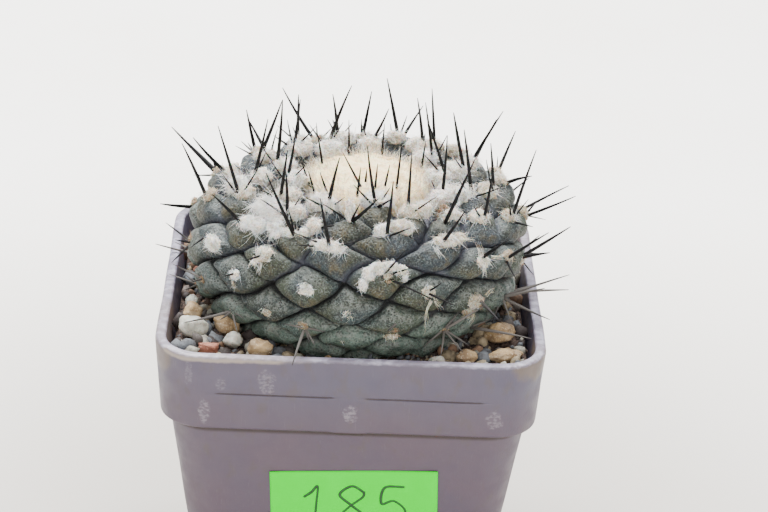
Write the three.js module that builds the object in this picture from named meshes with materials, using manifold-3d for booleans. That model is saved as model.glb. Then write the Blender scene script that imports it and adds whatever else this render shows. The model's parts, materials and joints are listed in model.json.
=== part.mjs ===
// A young single-headed cactus, Copiapoa tenuissima, in a square 7 cm plastic pot.
// Millimetres, +Z up. The origin is the middle of the pot's base and the front faces -Y.
import * as THREE from 'three';
import { mergeVertices } from 'three/addons/utils/BufferGeometryUtils.js';
import Module from 'manifold-3d';

const wasm = await Module();
wasm.setup();

// Pot: a moulded square pot with a straight collar over a tapering wall.
const potWidth = 70;
const potHeight = 65;
const rimCorner = 8.9;
const rimThickness = 2;
const wallCorner = 7.4;
const footCorner = 5.5;
const cornerDraft = 2;
const edgeRound = 0.6;
const collarHeight = 14.9;
const collarDraft = 1.13;
const collarStep = 1.63;
const wallTaper = 0.142;
const wallThickness = 1.2;
const floorTop = 3;
const footHeight = 1.4;
const footWidth = 2.4;
const footPad = 8;
const recessCorner = 4;
const cutPast = 1;
const drainRadius = 3;
const drainSpread = 15.5;
const tabWidth = 5.4;
const tabHeight = 2;
const tabDrop = 0.35;
const tabInset = 0.15;
const seamLength = 21;
const seamRise = 7.4;
const seamDepth = 0.35;
const seamHeight = 0.3;

// Paper label on the front wall, stuck on a little askew.
const labelWidth = 30.4;
const labelHeight = 20;
const labelThickness = 0.4;
const labelCentre = { x: 1.8, z: 31.2 };
const labelTurn = 2.5;

// Plant: the skin's outline runs through the tips of the tubercles, and its crown leans a little.
const plantX = 0.4;
const plantRadius = 31.3;
const plantWaist = 73.4;
const crownRise = 13;
const crownPower = 3.2;
const crownLean = { x: 1.8, y: 0.8 };
const footDrop = 21;

// Tubercles stand where 9 spirals that wind down to the right cross 14 that wind down to the left.
const rightSpirals = 9;
const leftSpirals = 14;
const stepRight = 16.8;
const firstAngle = -5.6;
const stepLeft = (leftSpirals * stepRight - 360) / rightSpirals;
const youngest = -38;
const oldest = 76;
const cellStops = [-0.5, -0.26, 0, 0.34, 0.5];
const youngCrease = 3.3;
const oldCrease = 2.5;
const creaseAges = { deep: -10, shallow: 40 };
const chinSag = 2.4;
const peakShift = -0.06;
const backPower = 2.8;
const chinPower = 4.5;

// Tubercles at the front that grew out of step: degrees to the right and millimetres downhill.
const strays = [
  { age: -9, turn: -7, drop: 0 },
  { age: -5, turn: 5, drop: -0.5 },
  { age: 0, turn: -8, drop: -2.4 },
  { age: 4, turn: 4, drop: 1 },
  { age: 9, turn: -4, drop: -0.8 },
  { age: 14, turn: 2, drop: 0.5 },
  { age: 18, turn: -5, drop: -0.4 },
  { age: 19, turn: 5, drop: 0 },
  { age: 23, turn: 0, drop: 1 },
  { age: 28, turn: 3, drop: 1.5 },
  { age: 41, turn: 2, drop: 0.5 },
  { age: 46, turn: -3, drop: -1 },
];

// Root, as half-widths at heights from its tip up into the plant.
const rootProfile = [[2, 27], [7, 38], [12, 50], [17, 56], [17, 59]];

// Soil and gravel. The hole for the plant is as wide as the plant at each height above its foot.
const holeFoot = { radius: 20, z: 55 };
const holeTop = 67;
const holeStep = 2;
const soilLevel = 60.8;
const soilGap = 0.35;
const holeGap = 0.5;
const pieceGap = 0.3;
const sliver = 0.02;
const pebbleCount = 32;
const soilWave = 0.3;
const pebbleDent = 0.16;
const smallPebble = 3.4;
const strewnSize = { first: 5.4, last: 2.8 };
const gritCount = 24;
const gritSize = { least: 0.7, most: 1.5 };

// Spines and wool. A tuft's width and height lie on the skin, and its lift stands out of it.
const spineRadius = 0.36;
const weakRadius = 0.29;
const centralSpine = { least: 9, most: 15 };
const starSpine = { least: 4.5, most: 7.5 };
const crownSpine = { least: 5, most: 8.5 };
const oldTuft = { width: 3.4, height: 2.6, lift: 1 };
const youngTuft = { width: 6.6, height: 4.4, lift: 2.6 };
const tuftSink = 0.1;
const spineSink = 0.5;
const oldestWoolly = 30;
const oldestSpiny = 52;
const oldestShaggy = -5;
const oldestStrong = 24;
const woolShrink = 0.35;
const cushionRadius = 12.3;
const cushionTop = 87;
const cushionRipple = 0.03;
const cushionBump = 0.25;
const woolGap = 0.35;
const youngSpines = 9;
const rimClearance = 1.2;

const degree = Math.PI / 180;

// A repeatable random number from 0 to 1 for each call.
function seeded(seed) {
  let state = seed;
  return () => {
    state = (state + 0x6d2b79f5) | 0;
    let t = Math.imul(state ^ (state >>> 15), 1 | state);
    t = (t + Math.imul(t ^ (t >>> 7), 61 | t)) ^ t;
    return ((t ^ (t >>> 14)) >>> 0) / 4294967296;
  };
}

function solidFrom(geometry) {
  const bare = geometry.clone();
  for (const name of ['normal', 'uv']) bare.deleteAttribute(name);
  const merged = mergeVertices(bare, 1e-4);
  return new wasm.Manifold(new wasm.Mesh({
    numProp: 3,
    vertProperties: merged.attributes.position.array,
    triVerts: new Uint32Array(merged.index.array),
  }));
}

// A solid as geometry, without the slivers that its cuts and joins leave.
function geometryFrom(solid) {
  const mesh = solid.asOriginal().simplify(sliver).getMesh();
  const geometry = new THREE.BufferGeometry();
  geometry.setAttribute('position', new THREE.BufferAttribute(mesh.vertProperties, 3));
  geometry.setIndex(new THREE.BufferAttribute(mesh.triVerts, 1));
  return geometry;
}

function geometryOf(points, triangles) {
  const geometry = new THREE.BufferGeometry();
  geometry.setAttribute('position', new THREE.Float32BufferAttribute(points.flat(), 3));
  geometry.setIndex(triangles.flat());
  return geometry;
}

// The outline of a square with round corners, counter-clockwise from above.
function roundedSquare(half, corner, z, cornerSteps = 6) {
  const points = [];
  for (let quarter = 0; quarter < 4; quarter += 1) {
    for (let step = 0; step <= cornerSteps; step += 1) {
      const angle = (quarter + step / cornerSteps) * 90 * degree;
      const sideX = quarter === 0 || quarter === 3 ? 1 : -1;
      const sideY = quarter < 2 ? 1 : -1;
      const x = sideX * (half - corner) + corner * Math.cos(angle);
      const y = sideY * (half - corner) + corner * Math.sin(angle);
      points.push([x, y, z]);
    }
  }
  return points;
}

function middleOf(ring) {
  const sum = ring.reduce((total, point) => total.map((value, k) => value + point[k]), [0, 0, 0]);
  return sum.map((value) => value / ring.length);
}

// A closed skin through rings of equal count, from the first ring's middle to the last one's.
function loft(rings) {
  const count = rings[0].length;
  const points = rings.flat();
  const triangles = [];
  for (let ring = 0; ring + 1 < rings.length; ring += 1) {
    for (let k = 0; k < count; k += 1) {
      const a = ring * count + k;
      const b = ring * count + ((k + 1) % count);
      triangles.push([a, b, b + count], [a, b + count, a + count]);
    }
  }
  const last = (rings.length - 1) * count;
  const start = points.push(middleOf(rings[0])) - 1;
  const end = points.push(middleOf(rings[rings.length - 1])) - 1;
  for (let k = 0; k < count; k += 1) {
    const next = (k + 1) % count;
    triangles.push([start, next, k], [end, last + k, last + next]);
  }
  return solidFrom(geometryOf(points, triangles));
}

function boxAt(width, depth, height, x, y, z) {
  return solidFrom(new THREE.BoxGeometry(width, depth, height).translate(x, y, z));
}

function cylinderAt(radius, height, x, y, z, sides = 12) {
  const geometry = new THREE.CylinderGeometry(radius, radius, height, sides);
  return solidFrom(geometry.rotateX(90 * degree).translate(x, y, z));
}

// Half-widths of the pot's outside and inside at a height.
const collarFoot = potHeight - collarHeight;
const collarFootHalf = potWidth / 2 - collarDraft;
const wallTopHalf = collarFootHalf - collarStep;

function wallHalf(z) {
  return wallTopHalf - wallTaper * (collarFoot - z);
}

function insideHalf(z) {
  if (z > collarFoot) {
    const rise = (z - collarFoot) / collarHeight;
    const low = wallTopHalf - wallThickness;
    return low + (potWidth / 2 - rimThickness - low) * rise;
  }
  return wallHalf(z) - wallThickness;
}

function insideCorner(z) {
  return rimCorner - rimThickness - cornerDraft * (1 - z / potHeight);
}

function makePot() {
  const rimHalf = potWidth / 2;
  const lip = potHeight - edgeRound;
  const innerRim = rimHalf - rimThickness + edgeRound;
  let pot = loft([
    roundedSquare(wallHalf(0) - edgeRound, footCorner, 0),
    roundedSquare(wallHalf(edgeRound), footCorner + edgeRound, edgeRound),
    roundedSquare(wallTopHalf, wallCorner, collarFoot),
    roundedSquare(collarFootHalf - edgeRound, wallCorner + edgeRound, collarFoot),
    roundedSquare(collarFootHalf, wallCorner + 2 * edgeRound, collarFoot + edgeRound),
    roundedSquare(rimHalf, rimCorner, lip),
    roundedSquare(rimHalf - edgeRound, rimCorner - edgeRound, potHeight),
    roundedSquare(innerRim, rimCorner - rimThickness + edgeRound, potHeight),
    roundedSquare(insideHalf(lip), insideCorner(lip), lip),
    roundedSquare(insideHalf(collarFoot), insideCorner(collarFoot), collarFoot),
    roundedSquare(insideHalf(floorTop), insideCorner(floorTop), floorTop),
  ]);
  const recess = loft([
    roundedSquare(wallHalf(0) - footWidth, recessCorner, -cutPast),
    roundedSquare(wallHalf(0) - footWidth, recessCorner, footHeight),
  ]);
  const pad = cylinderAt(footPad, 2 * (footHeight + cutPast), 0, 0, 0, 24);
  pot = pot.subtract(recess.subtract(pad));
  const tabY = -collarFootHalf + tabInset + collarStep / 2;
  const tabZ = collarFoot - tabDrop + tabHeight / 2;
  for (let side = 0; side < 4; side += 1) {
    const turn = side * 90;
    const drain = cylinderAt(drainRadius, 2 * (floorTop + cutPast), drainSpread, drainSpread, 0);
    const tab = boxAt(tabWidth, collarStep, tabHeight, 0, tabY, tabZ);
    pot = pot.subtract(drain.rotate([0, 0, turn])).add(tab.rotate([0, 0, turn]));
    for (const way of [-1, 1]) {
      const seamZ = collarFoot + seamRise;
      const face = collarFootHalf + collarDraft * (seamRise / collarHeight);
      const x = way * (tabWidth / 2 + seamLength / 2);
      const seam = boxAt(seamLength, 2 * seamDepth, seamHeight, x, -face, seamZ);
      pot = pot.subtract(seam.rotate([0, 0, turn]));
    }
  }
  return geometryFrom(pot);
}

function makeLabel() {
  const slope = Math.atan(wallTaper);
  const geometry = new THREE.BoxGeometry(labelWidth, labelThickness, labelHeight);
  geometry.rotateY(-labelTurn * degree).rotateX(slope);
  const out = pieceGap + labelThickness / 2;
  const y = -wallHalf(labelCentre.z) - out * Math.cos(slope);
  return geometry.translate(labelCentre.x, y, labelCentre.z - out * Math.sin(slope));
}

// The plant's outline as points with their distance along it from the crown.
const outline = [];
for (let step = 0; step <= 180; step += 1) {
  const angle = step * degree;
  const power = step < 90 ? 2 / crownPower : 1;
  const rise = step < 90 ? crownRise : footDrop;
  const r = plantRadius * Math.abs(Math.sin(angle)) ** power;
  const z = plantWaist + Math.sign(Math.cos(angle)) * rise * Math.abs(Math.cos(angle)) ** power;
  const last = outline[outline.length - 1];
  const along = last ? last.along + Math.hypot(r - last.r, z - last.z) : 0;
  outline.push({ r, z, along });
}

function outlineAt(along) {
  let k = 1;
  while (k < outline.length - 1 && outline[k].along < along) k += 1;
  const a = outline[k - 1];
  const b = outline[k];
  const t = (along - a.along) / (b.along - a.along);
  const length = Math.hypot(b.r - a.r, b.z - a.z);
  return {
    r: a.r + (b.r - a.r) * t,
    z: a.z + (b.z - a.z) * t,
    down: { r: (b.r - a.r) / length, z: (b.z - a.z) / length },
  };
}

// Distance from the crown down the slope, where w grows by 1 over as many ages as spirals cross.
function alongAt(w) {
  return 29.8 + 48 * w - 6 * w * w;
}

// The plant's middle at a height, which the lean of the crown shifts.
function middleAt(z) {
  const rise = THREE.MathUtils.clamp((z - plantWaist) / crownRise, 0, 1);
  return { x: plantX + crownLean.x * rise, y: crownLean.y * rise };
}

// How far the strays pull a lattice place out of step, fading to nothing one tubercle away.
function strayAt(i, j) {
  const pull = { turn: 0, drop: 0 };
  for (const stray of strays) {
    const home = latticePlace(stray.age);
    const lap = Math.round((i - home.i) / leftSpirals);
    const near = [i - home.i - lap * leftSpirals, j - home.j + lap * rightSpirals];
    const [a, b] = near.map((t) => THREE.MathUtils.smoothstep(1 - Math.abs(t), 0, 1));
    pull.turn += stray.turn * a * b;
    pull.drop += stray.drop * a * b;
  }
  return pull;
}

// How far a tubercle swells at a place in its own rhombus, each way from -0.5 to 0.5. It stays
// fuller downhill, where its chin is.
function pillow(u, v) {
  const side = (t) => {
    const away = t - peakShift * (1 - 4 * t * t);
    return 1 - Math.abs(2 * away) ** (away > 0 ? chinPower : backPower);
  };
  return side(u) * side(v);
}

// How far a place in a tubercle's rhombus is downhill, from 0 at its middle to 1 at its lowest corner.
function lowness(u, v) {
  return (u * rightSpirals + v * leftSpirals) * 2 / (rightSpirals + leftSpirals);
}

// A point of the skin, its outward normal and its downhill direction, at a lattice place.
function skinAt(i, j, u, v, lift = 0) {
  const right = i + u - peakShift;
  const left = j + v - peakShift;
  const pull = strayAt(right, left);
  const w = right / leftSpirals + left / rightSpirals;
  const angle = (firstAngle + right * stepRight + left * stepLeft + pull.turn) * degree;
  const spot = outlineAt(alongAt(w) + pull.drop);
  const swell = pillow(u, v);
  const age = rightSpirals * right + leftSpirals * left;
  const worn = THREE.MathUtils.smoothstep(age, creaseAges.deep, creaseAges.shallow);
  const depth = THREE.MathUtils.lerp(youngCrease, oldCrease, worn);
  const sag = chinSag * swell * THREE.MathUtils.smoothstep(lowness(u, v), 0, 1);
  const across = new THREE.Vector3(Math.sin(angle), -Math.cos(angle), 0);
  const downhill = across.clone().multiplyScalar(spot.down.r).setZ(spot.down.z);
  const normal = across.clone().multiplyScalar(-spot.down.z).setZ(spot.down.r);
  const point = across.clone().multiplyScalar(spot.r).setZ(spot.z);
  const middle = middleAt(spot.z);
  point.add(new THREE.Vector3(middle.x, middle.y, 0));
  point.addScaledVector(normal, lift - depth * (1 - swell));
  point.addScaledVector(downhill, sag);
  return { point, normal, downhill };
}

// The tubercle of an age number, as its place along the two families of spirals.
function latticePlace(age) {
  return { i: -3 * age, j: 2 * age };
}

// The skin: every tubercle is a small grid, and neighbours share the points of their creases.
function makeSkin(lift) {
  const n = cellStops.length - 1;
  const around = leftSpirals * n;
  const points = [];
  const number = new Map();
  const edges = new Map();
  const triangles = [];
  const middleAge = (youngest + oldest) / 2;

  const vertex = (i, j, a, b) => {
    const lap = Math.floor((n * i + a) / around);
    const x = n * i + a - lap * around;
    const y = n * j + b + lap * rightSpirals * n;
    const key = `${x},${y}`;
    if (!number.has(key)) {
      const { point } = skinAt(i, j, cellStops[a + n / 2], cellStops[b + n / 2], lift);
      number.set(key, points.push([point.x, point.y, point.z]) - 1);
    }
    return number.get(key);
  };
  const triangle = (a, b, c, age) => {
    triangles.push([a, b, c]);
    for (const [p, q] of [[a, b], [b, c], [c, a]]) edges.set(`${p},${q}`, { p, q, age });
  };

  for (let age = youngest; age <= oldest; age += 1) {
    const { i, j } = latticePlace(age);
    for (let a = -n / 2; a < n / 2; a += 1) {
      for (let b = -n / 2; b < n / 2; b += 1) {
        const near = vertex(i, j, a, b);
        const left = vertex(i, j, a, b + 1);
        const far = vertex(i, j, a + 1, b + 1);
        const right = vertex(i, j, a + 1, b);
        if ((a + 0.5) * (b + 0.5) > 0) {
          triangle(near, left, far, age);
          triangle(near, far, right, age);
        } else {
          triangle(near, left, right, age);
          triangle(left, far, right, age);
        }
      }
    }
  }

  const top = plantWaist + crownRise;
  const crown = points.push([middleAt(top).x, middleAt(top).y, top - youngCrease + lift]) - 1;
  const base = points.push([plantX, 0, plantWaist - footDrop + 2 - lift]) - 1;
  for (const { p, q, age } of edges.values()) {
    if (!edges.has(`${q},${p}`)) triangles.push([q, p, age < middleAge ? crown : base]);
  }
  return solidFrom(geometryOf(points, triangles));
}

// A solid turned about the plant's upright axis, from half-widths at rising heights.
function turned(profile, sides) {
  const side = profile.map(([r, z]) => new THREE.Vector2(r, z));
  const bottom = new THREE.Vector2(0, side[0].y);
  const top = new THREE.Vector2(0, side[side.length - 1].y);
  const geometry = new THREE.LatheGeometry([bottom, ...side, top], sides);
  return solidFrom(geometry.rotateX(90 * degree).translate(plantX, 0, 0));
}

// The tapering taproot, wider by an amount for the hole that it stands in.
function makeRoot(extra) {
  return turned(rootProfile.map(([r, z]) => [r + extra, z - extra]), 16);
}

function between({ least, most }, t) {
  return least + (most - least) * t;
}

// How woolly a tubercle is at an age: 1 beside the crown and less on the old ones below.
function woolliness(age) {
  return THREE.MathUtils.clamp(1 - (age - youngest) / (oldestWoolly - youngest), 0, 1);
}

function areole(age, sink) {
  const { i, j } = latticePlace(age);
  return skinAt(i, j, peakShift, peakShift, -sink);
}

// A lump of wool on each areole, wide and thick on the young ones.
function makeTufts(extra) {
  const random = seeded(41);
  const tufts = [];
  for (let age = youngest; age <= oldestWoolly; age += 1) {
    const { point, normal, downhill } = areole(age, tuftSink);
    const wool = woolliness(age);
    const size = (key, part) => THREE.MathUtils.lerp(oldTuft[key], youngTuft[key], part);
    const width = size('width', wool * (0.7 + 0.6 * random()));
    const shape = age < oldestShaggy ? THREE.IcosahedronGeometry : THREE.OctahedronGeometry;
    const lump = dented(new shape(1), woolShrink, random);
    const sideways = new THREE.Vector3().crossVectors(downhill, normal).normalize();
    const frame = new THREE.Matrix4().makeBasis(
      sideways.multiplyScalar(width / 2 + extra),
      downhill.clone().multiplyScalar(size('height', wool) / 2 + extra),
      normal.clone().multiplyScalar(size('lift', wool) + extra),
    ).setPosition(point);
    tufts.push(solidFrom(lump.applyMatrix4(frame)));
  }
  return tufts;
}

// A ball of flat faces with each corner pushed in by a random part of its radius.
function dented(ball, most, random) {
  for (const name of ['normal', 'uv']) ball.deleteAttribute(name);
  const lump = mergeVertices(ball, 1e-4);
  const spots = lump.attributes.position;
  for (let k = 0; k < spots.count; k += 1) {
    const size = 1 - most * random();
    spots.setXYZ(k, spots.getX(k) * size, spots.getY(k) * size, spots.getZ(k) * size);
  }
  return lump;
}

// A three-sided spine from a point under the skin, pointing along a direction.
function makeSpine(from, direction, length, radius = spineRadius) {
  const geometry = new THREE.ConeGeometry(radius, length, 3).translate(0, length / 2, 0);
  const turn = new THREE.Quaternion().setFromUnitVectors(new THREE.Vector3(0, 1, 0), direction);
  return solidFrom(geometry.applyQuaternion(turn).translate(from.x, from.y, from.z));
}

// A direction raised until a spine along it ends over the pot's rim or short of the gravel.
function bentClear(from, direction, length) {
  const aim = direction.clone().normalize();
  for (let tries = 0; tries < 30; tries += 1) {
    const tip = from.clone().addScaledVector(aim, length);
    const away = Math.hypot(tip.x - plantX, tip.y);
    if (tip.z > potHeight + rimClearance || away < plantReach(soilLevel)) break;
    aim.z += 0.1;
    aim.normalize();
  }
  return aim;
}

// Each areole has a strong central spine while it is young and a star of weaker ones when old.
function makeSpines() {
  const random = seeded(7);
  const spines = [];
  const up = new THREE.Vector3(0, 0, 1);
  for (let age = youngest; age <= oldestSpiny; age += 1) {
    const { point, normal, downhill } = areole(age, spineSink);
    const sideways = new THREE.Vector3().crossVectors(downhill, normal).normalize();
    const central = age < oldestStrong || random() < 0.35;
    if (central) {
      const lean = up.clone().multiplyScalar(0.5 + 0.5 * random());
      const aim = normal.clone().add(lean).addScaledVector(sideways, 0.7 * (random() - 0.5));
      const length = between(centralSpine, random());
      spines.push(makeSpine(point, bentClear(point, aim, length), length));
    }
    const star = random() < 0.6 ? 1 : 2;
    const start = 360 * random();
    for (let k = 0; k < star; k += 1) {
      const angle = (start + (k * 360) / star + 50 * random()) * degree;
      const aim = normal.clone().multiplyScalar(0.75)
        .addScaledVector(sideways, Math.cos(angle))
        .addScaledVector(downhill, Math.sin(angle));
      const length = between(starSpine, random());
      spines.push(makeSpine(point, bentClear(point, aim, length), length, weakRadius));
    }
  }
  return spines;
}

function makeCactus() {
  const body = makeSkin(0).add(makeRoot(0));
  return wasm.Manifold.union([body, ...makeTufts(0), ...makeSpines()]);
}

// The felt that fills the crown: a low cushion cut to the tubercles, with the youngest spines in it.
function makeCrownWool() {
  const random = seeded(19);
  const rings = 6;
  const sides = 24;
  const low = plantWaist + crownRise - youngCrease - 2;
  const middle = middleAt(cushionTop);
  const list = [];
  for (let ring = rings; ring >= 1; ring -= 1) {
    const angle = (90 * degree * ring) / rings;
    const r = cushionRadius * Math.sin(angle) ** 0.8;
    const z = low + (cushionTop - low) * Math.abs(Math.cos(angle)) ** 0.5;
    const points = [];
    for (let k = 0; k < sides; k += 1) {
      const turn = (k / sides) * 360 * degree;
      const reach = r * (1 + cushionRipple * (2 * random() - 1));
      const bump = ring === rings ? 0 : cushionBump * (2 * random() - 1);
      points.push([middle.x + reach * Math.cos(turn), middle.y + reach * Math.sin(turn), z + bump]);
    }
    list.push(points);
  }
  const spines = [];
  for (let k = 0; k < youngSpines; k += 1) {
    const turn = (k + 0.3 * random()) * (360 / youngSpines) * degree;
    const reach = cushionRadius * (0.55 + 0.25 * random());
    const outwards = new THREE.Vector3(Math.cos(turn), Math.sin(turn), 0);
    const foot = new THREE.Vector3(middle.x, middle.y, cushionTop - 2).addScaledVector(outwards, reach);
    const aim = outwards.multiplyScalar(0.25).setZ(1).normalize();
    spines.push(makeSpine(foot, aim, between(crownSpine, random())));
  }
  const room = wasm.Manifold.union([makeSkin(woolGap), ...makeTufts(woolGap)]);
  const felt = largest(loft(list).subtract(room));
  return wasm.Manifold.union([felt, ...spines]);
}

function largest(solid) {
  return solid.decompose().reduce((best, piece) => (piece.volume() > best.volume() ? piece : best));
}

// The pebbles that show in the photo's front corners: place, three widths, turn and kind.
const shownPebbles = [
  { x: -28.4, y: -20.4, sizes: [6.4, 5.4, 4.6], turn: 15, kind: 'quartz' },
  { x: -22.6, y: -18.6, sizes: [5.2, 3.8, 4.4], turn: -20, kind: 'sandstone' },
  { x: -29.2, y: -13.4, sizes: [4.2, 5.6, 4.2], turn: 10, kind: 'sandstone' },
  { x: -29.6, y: -7.6, sizes: [3, 5.4, 2.8], turn: -8, kind: 'quartz' },
  { x: -25.6, y: -26.6, sizes: [4.2, 2.8, 2.8], turn: -12, kind: 'brick' },
  { x: -21.2, y: -23.2, sizes: [4.2, 3.4, 3.4], turn: 20, kind: 'quartz' },
  { x: -16.2, y: -27.9, sizes: [5.2, 4, 4.6], turn: 0, kind: 'sandstone' },
  { x: -20.2, y: -28.6, sizes: [1.6, 3.8, 1.6], turn: -30, kind: 'slate' },
  { x: -30.2, y: 2.6, sizes: [3.2, 4.6, 3], turn: 5, kind: 'slate' },
  { x: 27, y: -17.8, sizes: [6.6, 5.4, 5], turn: 30, kind: 'sandstone' },
  { x: 27.6, y: -25.2, sizes: [7.4, 4.2, 2.8], turn: 12, kind: 'sandstone' },
  { x: 20.8, y: -27, sizes: [4.6, 3.4, 3.2], turn: -25, kind: 'sandstone' },
  { x: 15.4, y: -28.4, sizes: [3.6, 2.8, 2.6], turn: 10, kind: 'quartz' },
  { x: 30.4, y: -12, sizes: [2.6, 3.8, 2.6], turn: 0, kind: 'slate' },
];

// A pebble is a ball drawn out along three axes and dented at random, lying on the soil.
function makePebble(pebble, number) {
  const random = seeded(100 + number);
  const [long, wide, tall] = pebble.sizes;
  const detail = long > smallPebble ? 1 : 0;
  const lump = dented(new THREE.IcosahedronGeometry(1, detail), pebbleDent, random);
  lump.scale(long / 2, wide / 2, tall / 2).rotateZ(pebble.turn * degree).computeBoundingBox();
  const lift = soilLevel + soilWave / 2 + pieceGap - lump.boundingBox.min.z;
  return lump.translate(pebble.x, pebble.y, lift);
}

// The widest that the plant is up to a height, with its tubercles' chins.
function plantReach(z) {
  const drop = Math.max(0, plantWaist - z) / footDrop;
  return plantRadius * Math.sqrt(Math.max(0, 1 - drop * drop));
}

// Whether a pebble of a given half-width lies clear of the wall, the plant and the others.
function pebbleFits(pebble, others) {
  const half = Math.max(pebble.sizes[0], pebble.sizes[1]) / 2;
  const room = insideHalf(soilLevel) - half - 2 * pieceGap;
  const corner = insideCorner(soilLevel);
  const overX = Math.max(0, Math.abs(pebble.x) - (room - corner + half));
  const overY = Math.max(0, Math.abs(pebble.y) - (room - corner + half));
  if (Math.abs(pebble.x) > room || Math.abs(pebble.y) > room) return false;
  if (Math.hypot(overX, overY) > corner - half) return false;
  const top = soilLevel + pieceGap + pebble.sizes[2];
  const away = Math.hypot(pebble.x - plantX, pebble.y);
  if (away < plantReach(top) + half + pieceGap) return false;
  return others.every((other) => {
    const reach = Math.max(other.sizes[0], other.sizes[1]) / 2 + half + pieceGap;
    return Math.hypot(pebble.x - other.x, pebble.y - other.y) > reach;
  });
}

// The rest of the gravel, strewn where it fits until there are enough pieces.
function strewPebbles() {
  const random = seeded(23);
  const kinds = ['sandstone', 'quartz', 'slate', 'sandstone', 'brick', 'slate'];
  const pebbles = [...shownPebbles];
  for (let tries = 0; tries < 20000 && pebbles.length < pebbleCount; tries += 1) {
    const size = THREE.MathUtils.lerp(strewnSize.first, strewnSize.last, pebbles.length / pebbleCount);
    const x = (random() * 2 - 1) * insideHalf(soilLevel);
    const y = (random() * 2 - 1) * insideHalf(soilLevel);
    const sizes = [size, size * (0.7 + 0.2 * random()), size * (0.6 + 0.2 * random())];
    const pebble = { x, y, sizes, turn: 180 * random(), kind: kinds[pebbles.length % kinds.length] };
    if (pebbleFits(pebble, pebbles)) pebbles.push(pebble);
  }
  return pebbles;
}

// The hole that the plant stands in, as wide as its tubercles reach at each height.
function makeHole() {
  const profile = [[holeFoot.radius, holeFoot.z]];
  for (let z = holeFoot.z + holeStep; z <= holeTop; z += holeStep) {
    profile.push([plantReach(z) + holeGap + pieceGap, z]);
  }
  return turned(profile, 28).add(makeRoot(holeGap));
}

function makeSoil(pebbles) {
  const random = seeded(5);
  const ring = (z, inset, wave) => {
    const corner = insideCorner(z) - soilGap;
    const points = roundedSquare(insideHalf(z) - soilGap, corner, z);
    const scale = 1 - inset / insideHalf(z);
    return points.map(([x, y]) => [x * scale, y * scale, z + wave * (random() - 0.5)]);
  };
  const bed = loft([
    ring(floorTop + soilGap, 0, 0),
    ring(collarFoot, 0, 0),
    ring(soilLevel - soilWave, 0, 0),
    ...[2, 5, 9].map((inset) => ring(soilLevel, inset, soilWave)),
  ]);
  const grit = [];
  while (grit.length < gritCount) {
    const half = between(gritSize, random());
    const room = insideHalf(soilLevel) - half - 1;
    const x = (random() * 2 - 1) * room;
    const y = (random() * 2 - 1) * room;
    const bare = pebbles.every((pebble) => {
      const reach = half + Math.max(...pebble.sizes) / 2 + pieceGap;
      return Math.hypot(x - pebble.x, y - pebble.y) > reach;
    });
    const away = Math.hypot(x - plantX, y);
    if (!bare || away < plantReach(soilLevel) + 0.5 || away > 1.27 * room) continue;
    const lump = new THREE.IcosahedronGeometry(half, 0);
    lump.scale(1, 0.8, 0.7).rotateZ(random() * 360 * degree).translate(x, y, soilLevel + 0.1);
    grit.push(solidFrom(lump));
  }
  return geometryFrom(largest(wasm.Manifold.union([bed, ...grit]).subtract(makeHole())));
}

const finishes = {
  pot: { color: 0x8f8790, roughness: 0.55, metalness: 0 },
  label: { color: 0x5cf57a, roughness: 0.8, metalness: 0 },
  soil: { color: 0x3a2f2c, roughness: 0.95, metalness: 0 },
  cactus: { color: 0x5d6e66, roughness: 0.8, metalness: 0 },
  wool: { color: 0xece0c8, roughness: 1, metalness: 0 },
  quartz: { color: 0xc9ccc2, roughness: 0.6, metalness: 0 },
  sandstone: { color: 0xb59a70, roughness: 0.8, metalness: 0 },
  brick: { color: 0xa8624a, roughness: 0.8, metalness: 0 },
  slate: { color: 0x5b5f66, roughness: 0.7, metalness: 0 },
};

const materials = {};
for (const [name, finish] of Object.entries(finishes)) {
  materials[name] = new THREE.MeshStandardMaterial(finish);
}

const plant = new THREE.Group();

function place(name, geometry, finish) {
  const mesh = new THREE.Mesh(geometry, materials[finish]);
  mesh.name = name;
  plant.add(mesh);
}

const pebbles = strewPebbles();
place('pot', makePot(), 'pot');
place('label', makeLabel(), 'label');
place('soil', makeSoil(pebbles), 'soil');
place('cactus', geometryFrom(makeCactus()), 'cactus');
place('crown_wool', geometryFrom(makeCrownWool()), 'wool');
pebbles.forEach((pebble, k) => {
  const name = `pebble_${String(k + 1).padStart(2, '0')}`;
  place(name, makePebble(pebble, k), pebble.kind);
});

export default plant;
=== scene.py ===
# %% [markdown]
# # A young cactus in a square plastic pot
# A small Copiapoa tenuissima stands in gravelly soil in a mauve plastic pot with a green paper label.
# The solids that carry it are made and weighed already, and this notebook gives each of them its real
# surface. Everything is in metres, +Z is up, and the pot's labelled side faces -Y.

# %% Load the solids and keep their size
import json
import math

import bpy
import numpy as np
from mathutils import Matrix, Vector


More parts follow.
